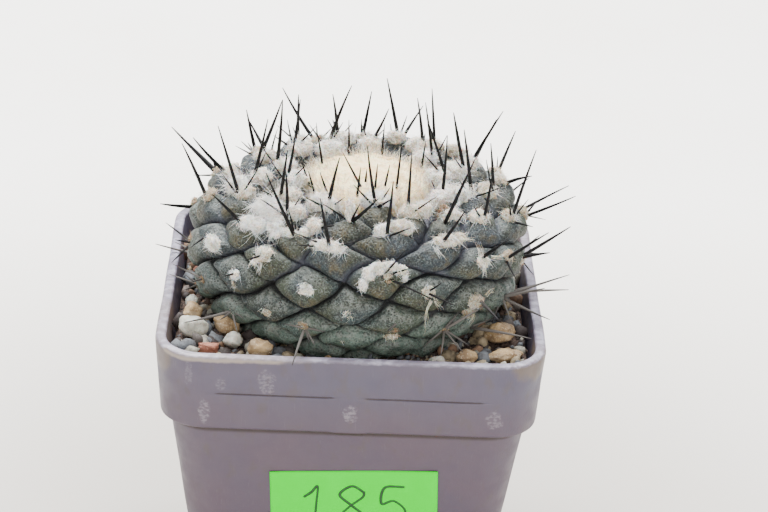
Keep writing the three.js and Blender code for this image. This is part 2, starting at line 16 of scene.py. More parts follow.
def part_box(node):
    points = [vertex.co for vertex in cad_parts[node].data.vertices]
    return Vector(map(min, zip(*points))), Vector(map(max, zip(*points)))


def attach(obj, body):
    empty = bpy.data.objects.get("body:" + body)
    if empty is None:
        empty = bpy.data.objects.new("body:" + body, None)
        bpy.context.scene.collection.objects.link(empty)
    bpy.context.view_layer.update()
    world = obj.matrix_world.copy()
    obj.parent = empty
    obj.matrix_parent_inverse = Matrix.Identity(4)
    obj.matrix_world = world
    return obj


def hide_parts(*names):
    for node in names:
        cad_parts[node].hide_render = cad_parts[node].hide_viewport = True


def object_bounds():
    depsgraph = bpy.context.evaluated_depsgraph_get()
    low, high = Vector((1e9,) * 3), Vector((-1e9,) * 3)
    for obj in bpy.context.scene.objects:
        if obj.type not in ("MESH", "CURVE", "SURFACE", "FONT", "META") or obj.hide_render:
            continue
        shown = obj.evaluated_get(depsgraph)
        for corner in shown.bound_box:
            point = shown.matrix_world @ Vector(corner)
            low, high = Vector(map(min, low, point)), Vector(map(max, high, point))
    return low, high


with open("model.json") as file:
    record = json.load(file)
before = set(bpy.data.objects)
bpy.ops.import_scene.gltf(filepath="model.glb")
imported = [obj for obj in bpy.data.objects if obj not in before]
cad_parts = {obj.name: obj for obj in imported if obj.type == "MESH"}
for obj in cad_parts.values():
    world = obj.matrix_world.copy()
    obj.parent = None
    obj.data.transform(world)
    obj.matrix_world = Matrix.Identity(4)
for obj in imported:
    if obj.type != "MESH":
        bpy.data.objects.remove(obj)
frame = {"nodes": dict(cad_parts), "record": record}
solid_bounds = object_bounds()
MM = 0.001
solid_size = [round(side / MM, 1) for side in solid_bounds[1] - solid_bounds[0]]
print("solids:", len(frame["nodes"]), "size in mm:", solid_size)

# %% [markdown]
# Every surface below is a table of points that numpy works out as a whole. It could be pushed into shape by
# hand in edit mode instead, but a formula can be read, changed and run again. Two helpers turn such a table
# into a Blender mesh: one numbers the four-sided faces of a grid, and the other fills a mesh in one go. The
# rest give closed tubes and smooth random relief, which breaks up what would look machine made.

# %% Helpers for surfaces


def grid_quads(rows, columns, closed):
    """Faces of a grid of points, filled row by row; a closed one joins its last column to the first."""
    row, column = np.meshgrid(np.arange(rows - 1), np.arange(columns - (not closed)), indexing="ij")
    after = (column + 1) % columns
    corners = [row * columns + column, row * columns + after]
    corners += [(row + 1) * columns + after, (row + 1) * columns + column]
    return np.stack(corners, axis=-1).reshape(-1, 4)


def fan(centre, ring):
    """Triangles from one centre point to each edge of a closed ring, turned as the ring turns."""
    return np.stack([np.full(len(ring), centre), ring, np.roll(ring, -1)], axis=-1)


def tube(rings):
    """Points and faces of a closed skin over rings of points, with a fan of triangles at either end."""
    count, columns = rings.shape[:2]
    ring = np.arange(columns)
    ends = [rings[0].mean(axis=0), rings[-1].mean(axis=0)]
    caps = [fan(count * columns, ring[::-1]), fan(count * columns + 1, ring + (count - 1) * columns)]
    return np.concatenate([rings.reshape(-1, 3), ends]), [grid_quads(count, columns, True), *caps]


def unit(vectors):
    """Vectors of length one along the given ones: v / |v|."""
    return vectors / np.linalg.norm(vectors, axis=-1, keepdims=True)


def spokes(angles):
    """Ways of length one in the plane at some angles: (cos a, sin a)."""
    return np.stack([np.cos(angles), np.sin(angles)], axis=-1)


def round_rings(reach, turn, heights, centre):
    """Rings of points round an upright axis, from how far out and how high each point is."""
    flat = spokes(turn) * reach[..., None] + centre
    return np.concatenate([flat, np.broadcast_to(heights, reach.shape)[..., None]], axis=-1)


print("a closed grid of 3 rings of 8 points has", len(grid_quads(3, 8, True)), "faces")

# %% Smooth random relief


def ripple(points, size, seed, waves=24):
    """Smooth random relief of about -2 to 2, with crests about `size` apart.

    It is the sum of sine waves sin(k . p + phase) that run in random directions, scaled to a spread of 1.
    """
    random = np.random.default_rng(seed)
    ways = unit(random.normal(size=(waves, 3)))
    steps = ways * random.uniform(0.6, 1.5, (waves, 1)) * 2 * np.pi / size
    phases = random.uniform(0, 2 * np.pi, waves)
    return np.sin(points @ steps.T + phases).sum(axis=-1) * math.sqrt(2 / waves)


def relief(points, seed, *layers):
    """Ripples laid over one another; each layer gives its strength and its size and takes the next seed."""
    return sum(strength * ripple(points, size, seed + k) for k, (strength, size) in enumerate(layers))


def smoothstep(low, high, values):
    """0 below low, 1 above high, and 3t^2 - 2t^3 between them."""
    t = np.clip((values - low) / (high - low), 0, 1)
    return t * t * (3 - 2 * t)


print("a quarter of the way, a smooth step has risen to", round(float(smoothstep(0, 1, 0.25)), 2))

# %% From points to a piece of the scene


def show(name, data):
    """Makes an object from a mesh, a light or a camera and puts it in the scene."""
    thing = bpy.data.objects.new(name, data)
    bpy.context.scene.collection.objects.link(thing)
    return thing


def add_piece(name, points, faces, material, slot, nodes=(), values=None):
    """Makes a smooth mesh object from points and groups of faces, dresses it and lets it ride with the pot.

    `nodes` are the solids it stands for, and `values` are numbers for each point that the material reads.
    """
    groups = [np.asarray(group, np.int32) for group in (faces if isinstance(faces, list) else [faces])]
    corners = np.concatenate([group.ravel() for group in groups])
    sides = np.concatenate([np.full(len(group), group.shape[1]) for group in groups])
    mesh = bpy.data.meshes.new(name)
    mesh.vertices.add(len(points))
    mesh.vertices.foreach_set("co", np.asarray(points, np.float32).ravel())
    mesh.loops.add(len(corners))
    mesh.loops.foreach_set("vertex_index", corners)
    mesh.polygons.add(len(sides))
    mesh.polygons.foreach_set("loop_start", np.concatenate([[0], np.cumsum(sides)[:-1]]).astype(np.int32))
    mesh.polygons.foreach_set("use_smooth", np.ones(len(sides), bool))
    for key, numbers in (values or {}).items():
        mesh.attributes.new(key, "FLOAT", "POINT").data.foreach_set("value", np.asarray(numbers, np.float32))
    mesh.update(calc_edges=True)
    mesh.materials.append(material)
    piece = show(name, mesh)
    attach(piece, "root")
    if nodes:
        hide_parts(*nodes)
    print(name, len(points), "points,", int((sides - 2).sum()), "triangles")
    return piece


# %% [markdown]
# A material here is a chain of shader nodes that ends in one Principled shader. It could be painted as an
# image, but patterns worked out from real sizes stay sharp at any distance and need no file. The class works
# as a painter does: it lays coat over coat, each as thick as a pattern says, and presses relief into them.
# Colours are the hex values that the eye reads off the real thing, turned to linear light by one function. A
# pattern's scale is one over its real size, so a grain of 0.3 mm has a scale of 1 / 0.0003.

# %% Helpers for materials
short_names = {
    "mix": ("Mix", {"data_type": "RGBA"}),
    "ease": ("MapRange", {"interpolation_type": "SMOOTHSTEP"}),
    "times": ("Math", {"operation": "MULTIPLY"}),
    "plus": ("Math", {"operation": "ADD"}),
}


def linear(code):
    """Turns a screen colour into linear light: c / 12.92 when dark, else ((c + 0.055) / 1.055) ^ 2.4."""
    channels = np.array([int(code[k : k + 2], 16) / 255 for k in (1, 3, 5)])
    light = np.where(channels <= 0.04045, channels / 12.92, ((channels + 0.055) / 1.055) ** 2.4)
    return (*light.tolist(), 1.0)


class Paint:
    """A material in the making: its node tree, and the colour that its coats have given so far."""

    def __init__(self, name, ground=None):
        """Starts an empty node tree, with the mesh's own coordinates and a ground colour."""
        self.material = bpy.data.materials.new(name)
        self.material.use_nodes = True
        self.tree = self.material.node_tree
        self.tree.nodes.clear()
        self.where = self.node("TexCoord", out="Object")
        self.colour = ground

    def node(self, kind, *values, out="", **more):
        """Adds a node with its settings and links, and returns its first output or the one that `out` names.

        The values go to the inputs in use, in their order, and capitalised names to inputs of those names.
        A socket is linked, a hex code becomes linear light, and a number is set. Other names are settings.
        """
        kind, settings = short_names.get(kind, (kind, {}))
        made = self.tree.nodes.new("ShaderNode" + kind)
        for name, value in (settings | more).items():
            if name[0].islower():
                setattr(made, name, value)
        filled = list(zip([socket for socket in made.inputs if socket.enabled], values))
        named = {name.replace("_", " "): value for name, value in more.items() if name[0].isupper()}
        for socket, value in filled + [(made.inputs[name], value) for name, value in named.items()]:
            if isinstance(value, bpy.types.NodeSocket):
                self.tree.links.new(value, socket)
            elif value is not None:
                socket.default_value = linear(value) if isinstance(value, str) else value
        return next((s for s in made.outputs if s.enabled and out in ("", s.name)), None)

    def patches(self, size, detail=4, low=None, high=None, least=0, most=1, stretch=(1, 1, 1)):
        """Random patches about `size` millimetres across, drawn out along the axes.

        With limits given, the pattern eases from least to most as it goes from low to high.
        """
        placed = self.node("Mapping", self.where, Scale=[1 / (size * MM * s) for s in stretch])
        pattern = self.node("TexNoise", placed, Scale=1, Detail=detail)
        return pattern if low is None else self.node("ease", pattern, low, high, least, most)

    def spot(self, centre, size, ragged):
        """1 in an ellipsoid and 0 outside it, with an edge frayed by patches, all in millimetres."""
        shift = [-c / s for c, s in zip(centre, size)]
        placed = self.node("Mapping", self.where, Location=shift, Scale=[1 / (s * MM) for s in size])
        reach = self.node("VectorMath", placed, operation="LENGTH")
        return self.node("ease", self.node("plus", reach, self.patches(ragged, 6)), 1.55, 1.2)

    def coat(self, colour, amount, *factors):
        """Lays a colour over those before it, as thick as the product of some amounts."""
        for factor in factors:
            amount = self.node("times", amount, factor)
        self.colour = self.node("mix", amount, self.colour, colour)

    def finished(self, *dents, **values):
        """Gives the colour, the relief and other values to one Principled shader, and returns the material.

        Each dent is a height pattern and its full swing in millimetres, and bends the normal of the last.
        """
        normal = None
        for height, depth in dents:
            normal = self.node("Bump", Height=height, Distance=depth * MM, Normal=normal)
        shader = self.node("BsdfPrincipled", Base_Color=self.colour, Normal=normal, **values)
        self.node("OutputMaterial", shader)
        print("material", self.material.name, "nodes:", len(self.tree.nodes))
        return self.material


print("mid grey in linear light:", round(linear("#808080")[0], 3))

# %% [markdown]
# ## The pot
# Real nursery pots of this kind are injection moulded from polypropylene: a tapering square wall, a deep
# collar that stiffens it, and a lip. The mould leaves two fine seam lines on each side of the collar and a
# small tab under it. A box with bevels would do for the wall, but its corners get rounder towards the rim,
# so one profile carried round a square with round corners gives the whole pot: from the pad under its floor,
# up the outside, over the lip and down to the floor inside. A row of the profile keeps its half-width, its
# corner radius and its height, and a corner as wide as the row makes it a circle.

# %% The pot's sizes
pot_half = 35 * MM
pot_height = 65 * MM
rim_corner = 8.9 * MM
rim_thickness = 2 * MM
wall_corner = 7.4 * MM
foot_corner = 5.5 * MM
collar_foot = 50.1 * MM
collar_foot_half = 33.87 * MM
wall_top_half = 32.24 * MM
wall_taper = 0.142
wall_thickness = 1.2 * MM
floor_top = 3 * MM
foot_height = 1.4 * MM
foot_width = 2.4 * MM
pad_radius = 8 * MM
drain_radius = 3 * MM
drain_spread = 15.5 * MM
seam_height = 57.5 * MM
seam_depth = 0.35 * MM
tab_half = 2.7 * MM
seam_end = 23.7 * MM
tab_drop = 0.45 * MM


def wall_half(z):
    """Half-width of the outer wall, which tapers evenly from the collar down."""
    return wall_top_half - wall_taper * (collar_foot - z)


def inside_half(z):
    """Half-width of the inside: the wall's below the collar, and widening to the lip above it."""
    low = wall_top_half - wall_thickness
    rise = np.clip((z - collar_foot) / (pot_height - collar_foot), 0, 1)
    in_collar = low + (pot_half - rim_thickness - low) * rise
    return np.where(z > collar_foot, in_collar, wall_half(z) - wall_thickness)


def inside_corner(z):
    """Corner radius of the inside, which shrinks by 2 mm from the lip to the base."""
    return rim_corner - rim_thickness - 2 * MM * (1 - z / pot_height)


print("the pot is", round(2 * wall_half(0) / MM, 1), "mm wide at its foot")

# %% The pot's profile


def eased(corners, step):
    """A profile with its corners rounded, as rows of half-width, corner radius and height.

    Each given corner becomes a quadratic arc that starts and ends its rounding away from it, and the straight
    stretches between the arcs are cut into steps.
    """
    spots = np.array([corner[:3] for corner in corners])
    rows = [spots[:1]]
    last = spots[0]
    t = np.linspace(0, 1, 7)[:, None]
    for k in range(1, len(spots) - 1):
        to_start = (spots[k - 1] - spots[k]) / np.linalg.norm((spots[k - 1] - spots[k])[[0, 2]])
        to_end = (spots[k + 1] - spots[k]) / np.linalg.norm((spots[k + 1] - spots[k])[[0, 2]])
        start = spots[k] + to_start * corners[k][3]
        end = spots[k] + to_end * corners[k][3]
        count = max(1, int(np.linalg.norm((start - last)[[0, 2]]) / step))
        rows.append(last + (start - last) * (np.arange(1, count) / count)[:, None])
        rows.append(start * (1 - t) ** 2 + spots[k] * 2 * t * (1 - t) + end * t**2)
        last = end
    rows.append(spots[-1:])
    return np.concatenate(rows)


recess_half = wall_half(0) - foot_width
pot_corners = [
    (0.4 * MM, 0.4 * MM, 0, 0),
    (pad_radius, pad_radius, 0, 0.3 * MM),
    (pad_radius + 0.2 * MM, pad_radius + 0.2 * MM, foot_height, 0.3 * MM),
    (recess_half - 0.2 * MM, 4 * MM, foot_height, 0.3 * MM),
    (recess_half, 4 * MM, 0, 0.3 * MM),
    (wall_half(0), foot_corner, 0, 0.7 * MM),
    (wall_top_half, wall_corner, collar_foot, 0.4 * MM),
    (collar_foot_half, 8 * MM, collar_foot, 0.8 * MM),
    (collar_foot_half + 0.54 * MM, 8.4 * MM, seam_height - 0.5 * MM, 0.1 * MM),
    (collar_foot_half + 0.56 * MM, 8.4 * MM, seam_height, 0.4 * MM),
    (collar_foot_half + 0.58 * MM, 8.4 * MM, seam_height + 0.5 * MM, 0.1 * MM),
    (pot_half, rim_corner, pot_height, 0.8 * MM),
    (pot_half - rim_thickness, rim_corner - rim_thickness, pot_height, 0.6 * MM),
    (float(inside_half(collar_foot)), inside_corner(collar_foot), collar_foot, 2 * MM),
    (float(inside_half(floor_top)), inside_corner(floor_top), floor_top, 1 * MM),
    (0.4 * MM, 0.4 * MM, floor_top, 0),
]
pot_rows = eased(pot_corners, 1.4 * MM)
print("profile rows:", len(pot_rows))

# %% Carry the profile round a square


def square_ring(corner_steps, side_steps):
    """Where each column of a rounded square lies: the middle of its arc, as shares, and its way outwards.

    A point is middle * (half - corner) + way * corner. Along a straight side the middle moves from one
    corner's to the next one's, and the way stays square to the side.
    """
    turn = np.linspace(0, np.pi / 2, corner_steps, endpoint=False)
    slide = np.linspace(0, 1, side_steps, endpoint=False)[:, None]
    corners = np.array([(1, 1), (-1, 1), (-1, -1), (1, -1)])
    middles, ways = [], []
    for quarter in range(4):
        here, there = corners[quarter], corners[(quarter + 1) % 4]
        middles += [np.tile(here, (corner_steps, 1)), here + (there - here) * slide]
        square = spokes((quarter + 1) * np.pi / 2)
        ways += [spokes(turn + quarter * np.pi / 2), np.tile(square, (side_steps, 1))]
    return np.concatenate(middles), np.concatenate(ways)


def square_sweep(rows, corner_steps=12, side_steps=44):
    """Points of a profile carried round a square, as an array of rows by columns by three."""
    middles, ways = square_ring(corner_steps, side_steps)
    half, corner, z = (rows[:, k][:, None, None] for k in range(3))
    flat = middles * (half - corner) + ways * corner
    return np.concatenate([flat, np.broadcast_to(z, (*flat.shape[:2], 1))], axis=-1), ways


pot_points, pot_ways = square_sweep(pot_rows)
print("the pot's grid:", pot_points.shape[:2])

# %% Press seams and tabs into it, and bow its walls a little
row_half, row_height = pot_rows[:, :1], pot_rows[:, 2:]
outer = np.arange(len(pot_rows))[:, None] < np.argmax(row_height)
faces_y = np.abs(pot_ways[:, 1]) > np.abs(pot_ways[:, 0])
along_side = np.abs(np.where(faces_y, pot_points[..., 0], pot_points[..., 1]))
seam_span = smoothstep(tab_half - 0.4 * MM, tab_half + 0.4 * MM, along_side)
seam_span *= smoothstep(seam_end + 0.5 * MM, seam_end - 0.5 * MM, along_side)
seam_width = 0.12 * MM
seam = seam_depth * seam_span * np.exp(-(((row_height - seam_height) / seam_width) ** 2)) * outer
bow_depth, bow_size, flat_foot = 0.05 * MM, 22 * MM, 4 * MM
bow = ripple(pot_points, bow_size, 3) * bow_depth * (row_height > flat_foot)
pot_points[..., :2] += pot_ways * (bow - seam)[..., None]
on_collar = outer * (row_half > wall_top_half + 0.4 * MM)
tab = smoothstep(1.1 * MM, 0.3 * MM, np.abs(row_height - collar_foot)) * on_collar
pot_points[..., 2] -= tab_drop * tab * smoothstep(tab_half + 0.3 * MM, tab_half - 0.1 * MM, along_side)
print("deepest seam in mm:", round(seam.max() / MM, 2))

# %% [markdown]
# Polypropylene is a waxy, slightly see-through plastic, so its shine is broad and soft. This pot has stood
# in greenhouses: its lip is worn pale and rough, and the pale band also serves as a painted highlight; hard
# water has dried to yellow-brown lime round it, and one lime spot also paints a warm reflection; a painted
# shadow with some dirt lies below the collar, and shelf neighbours have rubbed chalky scuffs on the collar.
# Each of these is a coat of its own, because each follows another rule: the height, the seam, a place, or
# chance.

# %% Worn mauve polypropylene
# Scuffs and lime: middle, half-size, both in millimetres, and how strong or of which colour.
scuffs = [
    ((-25.7, -34.2, 53.8), (1.2, 2.5, 2.6), 0.8),
    ((0.2, -34.2, 54.4), (1.4, 2.5, 2.0), 1.0),
    ((25.9, -34.2, 53.9), (1.6, 2.5, 2.2), 0.7),
    ((-14.7, -34.7, 60.2), (1.7, 2.5, 2.8), 0.7),
    ((-22.9, -34.7, 59.5), (1.1, 2.5, 1.4), 0.5),
    ((-28.5, -34.2, 61.5), (0.8, 2.5, 3.4), 0.4),
]
limes = [
    ((-34.6, -22.0, 64.0), (4.0, 16.0, 5.0), "#716250"),
    # At the front-right corner: dried lime that also paints a warm reflection on the collar.
    ((33.5, -29.5, 64.2), (7.0, 8.0, 3.6), "#6b5a3c"),
    ((-26.0, -34.5, 65.3), (20.0, 4.0, 1.6), "#b3a591"),
    ((34.6, 18.0, 63.5), (3.0, 12.0, 4.0), "#6a5f52"),
    ((-10.0, 34.6, 63.5), (16.0, 3.0, 4.0), "#6a5f52"),
]


def moulded_polypropylene():
    """Mauve-grey plastic: cloudy pigment, a pale worn lip that is also a painted highlight, lime, dirt,
    a painted shadow below the collar, scuffs and fine scratches.

    The mould's grain is finer than 0.1 mm, so it is drawn at 0.35 mm to show at all.
    """
    paint = Paint("moulded_polypropylene")
    node, patches = paint.node, paint.patches
    height = node("SeparateXYZ", paint.where, out="Z")
    side = node("SeparateXYZ", node("VectorMath", paint.where, operation="ABSOLUTE")).node.outputs
    # Clouded pigment, a little greyer on the collar than on the wall.
    cloud = patches(14, 3, 0.3, 0.7)
    paint.colour = node("mix", cloud, "#4d404c", "#493f4d")
    paint.coat(node("mix", cloud, "#4c4453", "#484354"), node("ease", height, 52 * MM, 61 * MM))
    # Greasy grime all over, and a painted shadow with some dirt in the angle below the collar.
    paint.coat("#4a413f", patches(2.2, 8, 0.52, 0.75, 0, 0.5, (1, 1, 1.6)))
    under = node("ease", height, 48.5 * MM, 49.2 * MM), node("ease", height, 50.5 * MM, 50.2 * MM)
    paint.coat("#251812", *under, 0.85)
    # Dirt in the seams, which run along each side from the tab to the corner.
    along = node("Math", side["X"], side["Y"], operation="MINIMUM")
    off_seam = node("Math", node("Math", height, seam_height, operation="SUBTRACT"), operation="ABSOLUTE")
    seam_ends = node("ease", along, 2.4 * MM, 3.4 * MM), node("ease", along, 24.2 * MM, 23 * MM)
    paint.coat("#281a16", *seam_ends, node("ease", off_seam, 0.17 * MM, 0.07 * MM), 0.8)
    # Upright scratches, chalky scuffs and dried lime, one spot of which is also a painted warm reflection.
    streaks = patches(1.2, 6, stretch=(0.25, 0.25, 6))
    paint.coat("#6d666c", node("ease", streaks, 0.62, 0.74, 0, 0.12))
    fleck = patches(0.5, 6, 0.4, 0.64, 0.04, 0.36, (1.3, 1, 0.9))
    for centre, size, strength in scuffs:
        paint.coat("#9a939b", paint.spot(centre, size, 1.4), fleck, strength)
    for centre, size, stain in limes:
        paint.coat(stain, paint.spot(centre, size, 5), 0.48)
    # The worn lip, painted pale as wear and also as the highlight along the rim's top edge; its lower edge is
    # ragged.
    chips = node("plus", height, patches(1.5, 6, 0.3, 0.7, -0.12 * MM, 0.12 * MM))
    lip = node("ease", chips, 64.4 * MM, 64.9 * MM)
    worn_lip_highlight_colour = node("mix", patches(0.8, 8, 0.4, 0.66, stretch=(2, 2, 1)), "#756f7e", "#9f9cab")
    paint.coat(worn_lip_highlight_colour, lip, patches(7, 4, 0.35, 0.6, 0.35, 0.75))
    dents = (patches(0.35, 3), 0.02), (node("times", lip, patches(0.7, 6)), 0.15), (streaks, 0.01)
    rough = patches(3, 6, 0.3, 0.7, 0.42, 0.6)
    waxy = {"IOR": 1.49, "Subsurface_Weight": 0.06, "Subsurface_Scale": 1.5 * MM}
    return paint.finished(*dents, Roughness=rough, **waxy)


pot_plastic = moulded_polypropylene()

# %% [markdown]
# Water leaves through four holes near the corners of the floor. The profile can't make them, since they lie
# off its path, so a cylinder is cut out of the finished mesh for each, as a drill would do it.

# %% Make the pot and drill its drain holes
pot = add_piece("square_pot", *tube(pot_points), pot_plastic, "pot_plastic", ["pot"])


def drill(piece, centre, radius, depth):
    """Cuts a round hole down through a piece with a cylinder that is removed again."""
    rim = centre + radius * spokes(np.linspace(0, 2 * np.pi, 32, endpoint=False))
    ends = [np.column_stack([rim, np.full(len(rim), z)]) for z in (-depth, depth)]
    mesh = bpy.data.meshes.new("drill")
    sides = grid_quads(2, len(rim), True).tolist()
    caps = [list(range(len(rim)))[::-1], list(range(len(rim), 2 * len(rim)))]
    mesh.from_pydata(np.concatenate(ends).tolist(), [], sides + caps)
    cutter = show("drill", mesh)
    cut = piece.modifiers.new("drain", "BOOLEAN")
    cut.object, cut.operation, cut.solver = cutter, "DIFFERENCE", "EXACT"
    drilled = bpy.data.meshes.new_from_object(piece.evaluated_get(bpy.context.evaluated_depsgraph_get()))
    piece.modifiers.clear()
    piece.data = drilled
    bpy.data.objects.remove(cutter)


for corner in [(-1, -1), (-1, 1), (1, -1), (1, 1)]:
    drill(pot, np.array(corner) * drain_spread, drain_radius, 5 * MM)
print("pot faces after drilling:", len(pot.data.polygons))

# %% [markdown]
# ## The label
# A piece of fluorescent green paper, stuck on by hand and so a little askew. A flat box would do from afar,
# but paper is never quite flat and its corners lift by a fraction of a millimetre, so it is a curled sheet.
# It carries a plain number in dark green felt pen. The strokes are thin ribbons that lie on the paper,
# because ink is only colour but still needs an edge.

# %% The label's sizes and its place on the wall
label_width = 30.4 * MM
label_height = 20 * MM
label_paper = 0.12 * MM
label_centre = np.array([1.8 * MM, 31.2 * MM])
label_turn = math.radians(2.5)
wall_slope = math.atan(wall_taper)


def on_label(a, b, lift):
    """Points of the front wall from places across and up the label, lifted off the wall along its normal."""
    x = label_centre[0] + a * math.cos(label_turn) - b * math.sin(label_turn)
    up = a * math.sin(label_turn) + b * math.cos(label_turn)
    y = -wall_half(label_centre[1]) - up * math.sin(wall_slope) - lift * math.cos(wall_slope)
    z = label_centre[1] + up * math.cos(wall_slope) - lift * math.sin(wall_slope)
    return np.stack([x, y, z], axis=-1)


def label_lift(a, b):
    """How far the paper stands off the wall: corners curl with the fourth power of their distance."""
    corner = np.abs(a / label_width * 2) ** 4 * np.abs(b / label_height * 2) ** 4
    flat = np.stack([a, b, np.zeros_like(a)], axis=-1)
    glue, curl, cockle = 0.15 * MM, 0.2 * MM, 0.015 * MM
    return glue + curl * corner + cockle * ripple(flat, 9 * MM, 8)


print("the wall leans by", round(math.degrees(wall_slope), 1), "degrees")

# %% [markdown]
# Fluorescent dye sends back more green than falls on it. An emission shader could copy that, but it would
# glow in shadow too, so the paper is a pure, saturated green with hardly any shine. Ink soaks in and is matt.

# %% Fluorescent paper and felt pen


def fluorescent_paper():
    """Smooth paper dyed with a fluorescent green, a little cloudy, with fibres drawn coarser than real."""
    paint = Paint("fluorescent_paper", "#00d80a")
    paint.coat("#02dc10", paint.patches(5, 5, 0.35, 0.65))
    fibres = paint.patches(0.25, 6, stretch=(3, 1, 1))
    return paint.finished((fibres, 0.02), Roughness=0.7, Specular_IOR_Level=0.02)


def felt_pen_ink():
    """Dark green ink that dries matt and thins a little where the pen moved fast."""
    paint = Paint("felt_pen_ink", "#0b3a10")
    paint.coat("#14521a", paint.patches(0.9, 5, 0.35, 0.7, stretch=(1, 1, 3)))
    return paint.finished(Roughness=0.5)


green_paper, pen_ink = fluorescent_paper(), felt_pen_ink()

# %% Make the label


def paper_sheet(rows, columns):
    """Front and back grids of a thin sheet, joined round their edges."""
    up, right = np.linspace(-0.5, 0.5, rows), np.linspace(-0.5, 0.5, columns)
    b, a = np.meshgrid(up * label_height, right * label_width, indexing="ij")
    lift = label_lift(a, b)
    front, back = (on_label(a, b, lift - depth).reshape(-1, 3) for depth in (0, label_paper))
    quads = grid_quads(rows, columns, False)
    number = np.arange(rows * columns).reshape(rows, columns)
    edge = np.concatenate([number[0, :-1], number[:-1, -1], number[-1, :0:-1], number[:0:-1, 0]])
    after = np.roll(edge, -1)
    rim = np.stack([edge, edge + len(front), after + len(front), after], axis=-1)
    return np.concatenate([front, back]), [quads, quads[:, ::-1] + len(front), rim]


add_piece("paper_label", *paper_sheet(41, 61), green_paper, "label_paper", ["label"])

# %% [markdown]
# The number could be set in a typeface, but it was written by hand. So each digit is a smooth line through a
# few corners, drawn as a ribbon whose width swells and thins as the hand presses.

# %% Write a plain number on it


def pen_path(corners, steps):
    """A smooth line through given corners, where each span is a Catmull-Rom curve."""
    spots = np.array(corners, float)
    spots = np.concatenate([2 * spots[:1] - spots[1:2], spots, 2 * spots[-1:] - spots[-2:-1]])
    t = np.linspace(0, 1, steps, endpoint=False)[:, None, None]
    before, here, there, beyond = spots[:-3], spots[1:-2], spots[2:-1], spots[3:]
    line = 0.5 * (
        2 * here
        + (there - before) * t
        + (2 * before - 5 * here + 4 * there - beyond) * t**2
        + (3 * here - before - 3 * there + beyond) * t**3
    )
    return np.concatenate([line.transpose(1, 0, 2).reshape(-1, 2), spots[-2:-1]])


def pen_stroke(line, width):
    """A flat ribbon along a line on the label: six points round each place, wide across and very thin."""
    way = unit(np.gradient(line, axis=0))
    across = np.stack([-way[:, 1], way[:, 0]], axis=-1)
    angles = np.arange(6) * np.pi / 3
    press = 0.85 + 0.15 * np.sin(np.linspace(0, 7, len(line)))
    reach = press[:, None] * np.cos(angles) * width / 2
    place = line[:, None] + across[:, None] * reach[..., None]
    lift = label_lift(place[..., 0], place[..., 1]) + 0.02 * MM + np.sin(angles)[None] * 0.03 * MM
    points = on_label(place[..., 0], place[..., 1], lift).reshape(-1, 3)
    caps = np.array([np.arange(6), np.arange(6)[::-1] + len(points) - 6])
    return points, [grid_quads(len(line), 6, True)[:, ::-1], caps]


# Each digit: how far right it stands, and the corners of its line, in digit heights.
digit_height = 9.5 * MM
pen_width = 0.55 * MM
digit_corner = np.array([-9.6 * MM, -2.9 * MM])
digits = {
    "one": (0, [(0.05, 0.74), (0.2, 0.86), (0.32, 1.0), (0.29, 0.6), (0.24, 0.02)]),
    "eight": (0.62, [(0.6, 0.84), (0.36, 1.0), (0.12, 0.8), (0.34, 0.54), (0.58, 0.26), (0.34, 0.0),
                     (0.08, 0.2), (0.3, 0.5), (0.56, 0.74), (0.58, 0.88)]),
    "five": (1.42, [(0.56, 0.98), (0.18, 0.96), (0.12, 0.58), (0.36, 0.64), (0.58, 0.38), (0.4, 0.06),
                    (0.04, 0.04)]),
}
for name, (shift, corners) in digits.items():
    line = pen_path([(x + shift, y) for x, y in corners], 10) * digit_height + digit_corner
    add_piece(f"digit_{name}", *pen_stroke(line, pen_width), pen_ink, "label_paper")

# %% [markdown]
# ## The soil
# Cactus soil is half mineral grit and half dark humus. A plane with a noise texture would look flat at the
# pot's wall and round the plant, so the bed is one closed surface: rings that start as the rounded square of
# the pot's inside and turn into a circle round the plant, with crumbs as relief. Grit and bark lie on it as
# separate small lumps, because their edges and shadows are what the eye reads.

# %% Sizes of the soil and of the plant that stands in it
soil_level = 60.8 * MM
plant_x = 0.4 * MM
plant_radius = 31.3 * MM
plant_waist = 73.4 * MM
foot_drop = 21 * MM
foot_power = 2.22


def plant_reach(z):
    """Half-width of the plant below its waist, over the tips of its tubercles: r (1 - drop ^ p) ^ (1 / p)."""
    drop = np.clip((plant_waist - z) / foot_drop, 0, 1)
    return plant_radius * (1 - drop**foot_power) ** (1 / foot_power)


print("the plant's foot at the soil is", round(2 * float(plant_reach(soil_level)) / MM, 1), "mm wide")

# %% [markdown]
# Humus is rotted leaf and bark: near black when damp, with paler fibres and mineral dust. One flat brown
# would read as clay, so the colour follows the same crumbs as the relief, and hollows stay dark.

# %% Damp humus


def damp_humus():
    """Near-black crumbs with brown fibres and pale dust, rough all over."""
    paint = Paint("damp_humus", "#261d1b")
    crumbs = paint.patches(0.9, 8)
    paint.coat("#54443c", paint.node("ease", crumbs, 0.35, 0.62))
    paint.coat("#8a7a68", paint.patches(0.4, 4, 0.62, 0.7), 0.7)
    return paint.finished((crumbs, 0.5), Roughness=0.9, Specular_IOR_Level=0.3)


humus = damp_humus()

# %% Make the bed
wall_gap = 0.3 * MM
bed_middles, bed_ways = square_ring(14, 46)
bed_angles = np.arctan2(*(bed_middles * 20 * MM + bed_ways * 5 * MM).T[::-1])


def bed_ring(z, inset, roundness):
    """One ring of the bed: the pot's inside less a gap, shrunk by an inset and drawn towards a circle."""
    half = float(inside_half(z)) - wall_gap
    square = bed_middles * (half - inside_corner(z)) + bed_ways * inside_corner(z)
    circle = spokes(bed_angles) * (float(plant_reach(z)) - 1.5 * MM) + [plant_x, 0]
    flat = square * (1 - inset / half) * (1 - roundness) + circle * roundness
    return np.column_stack([flat, np.full(len(flat), z)])


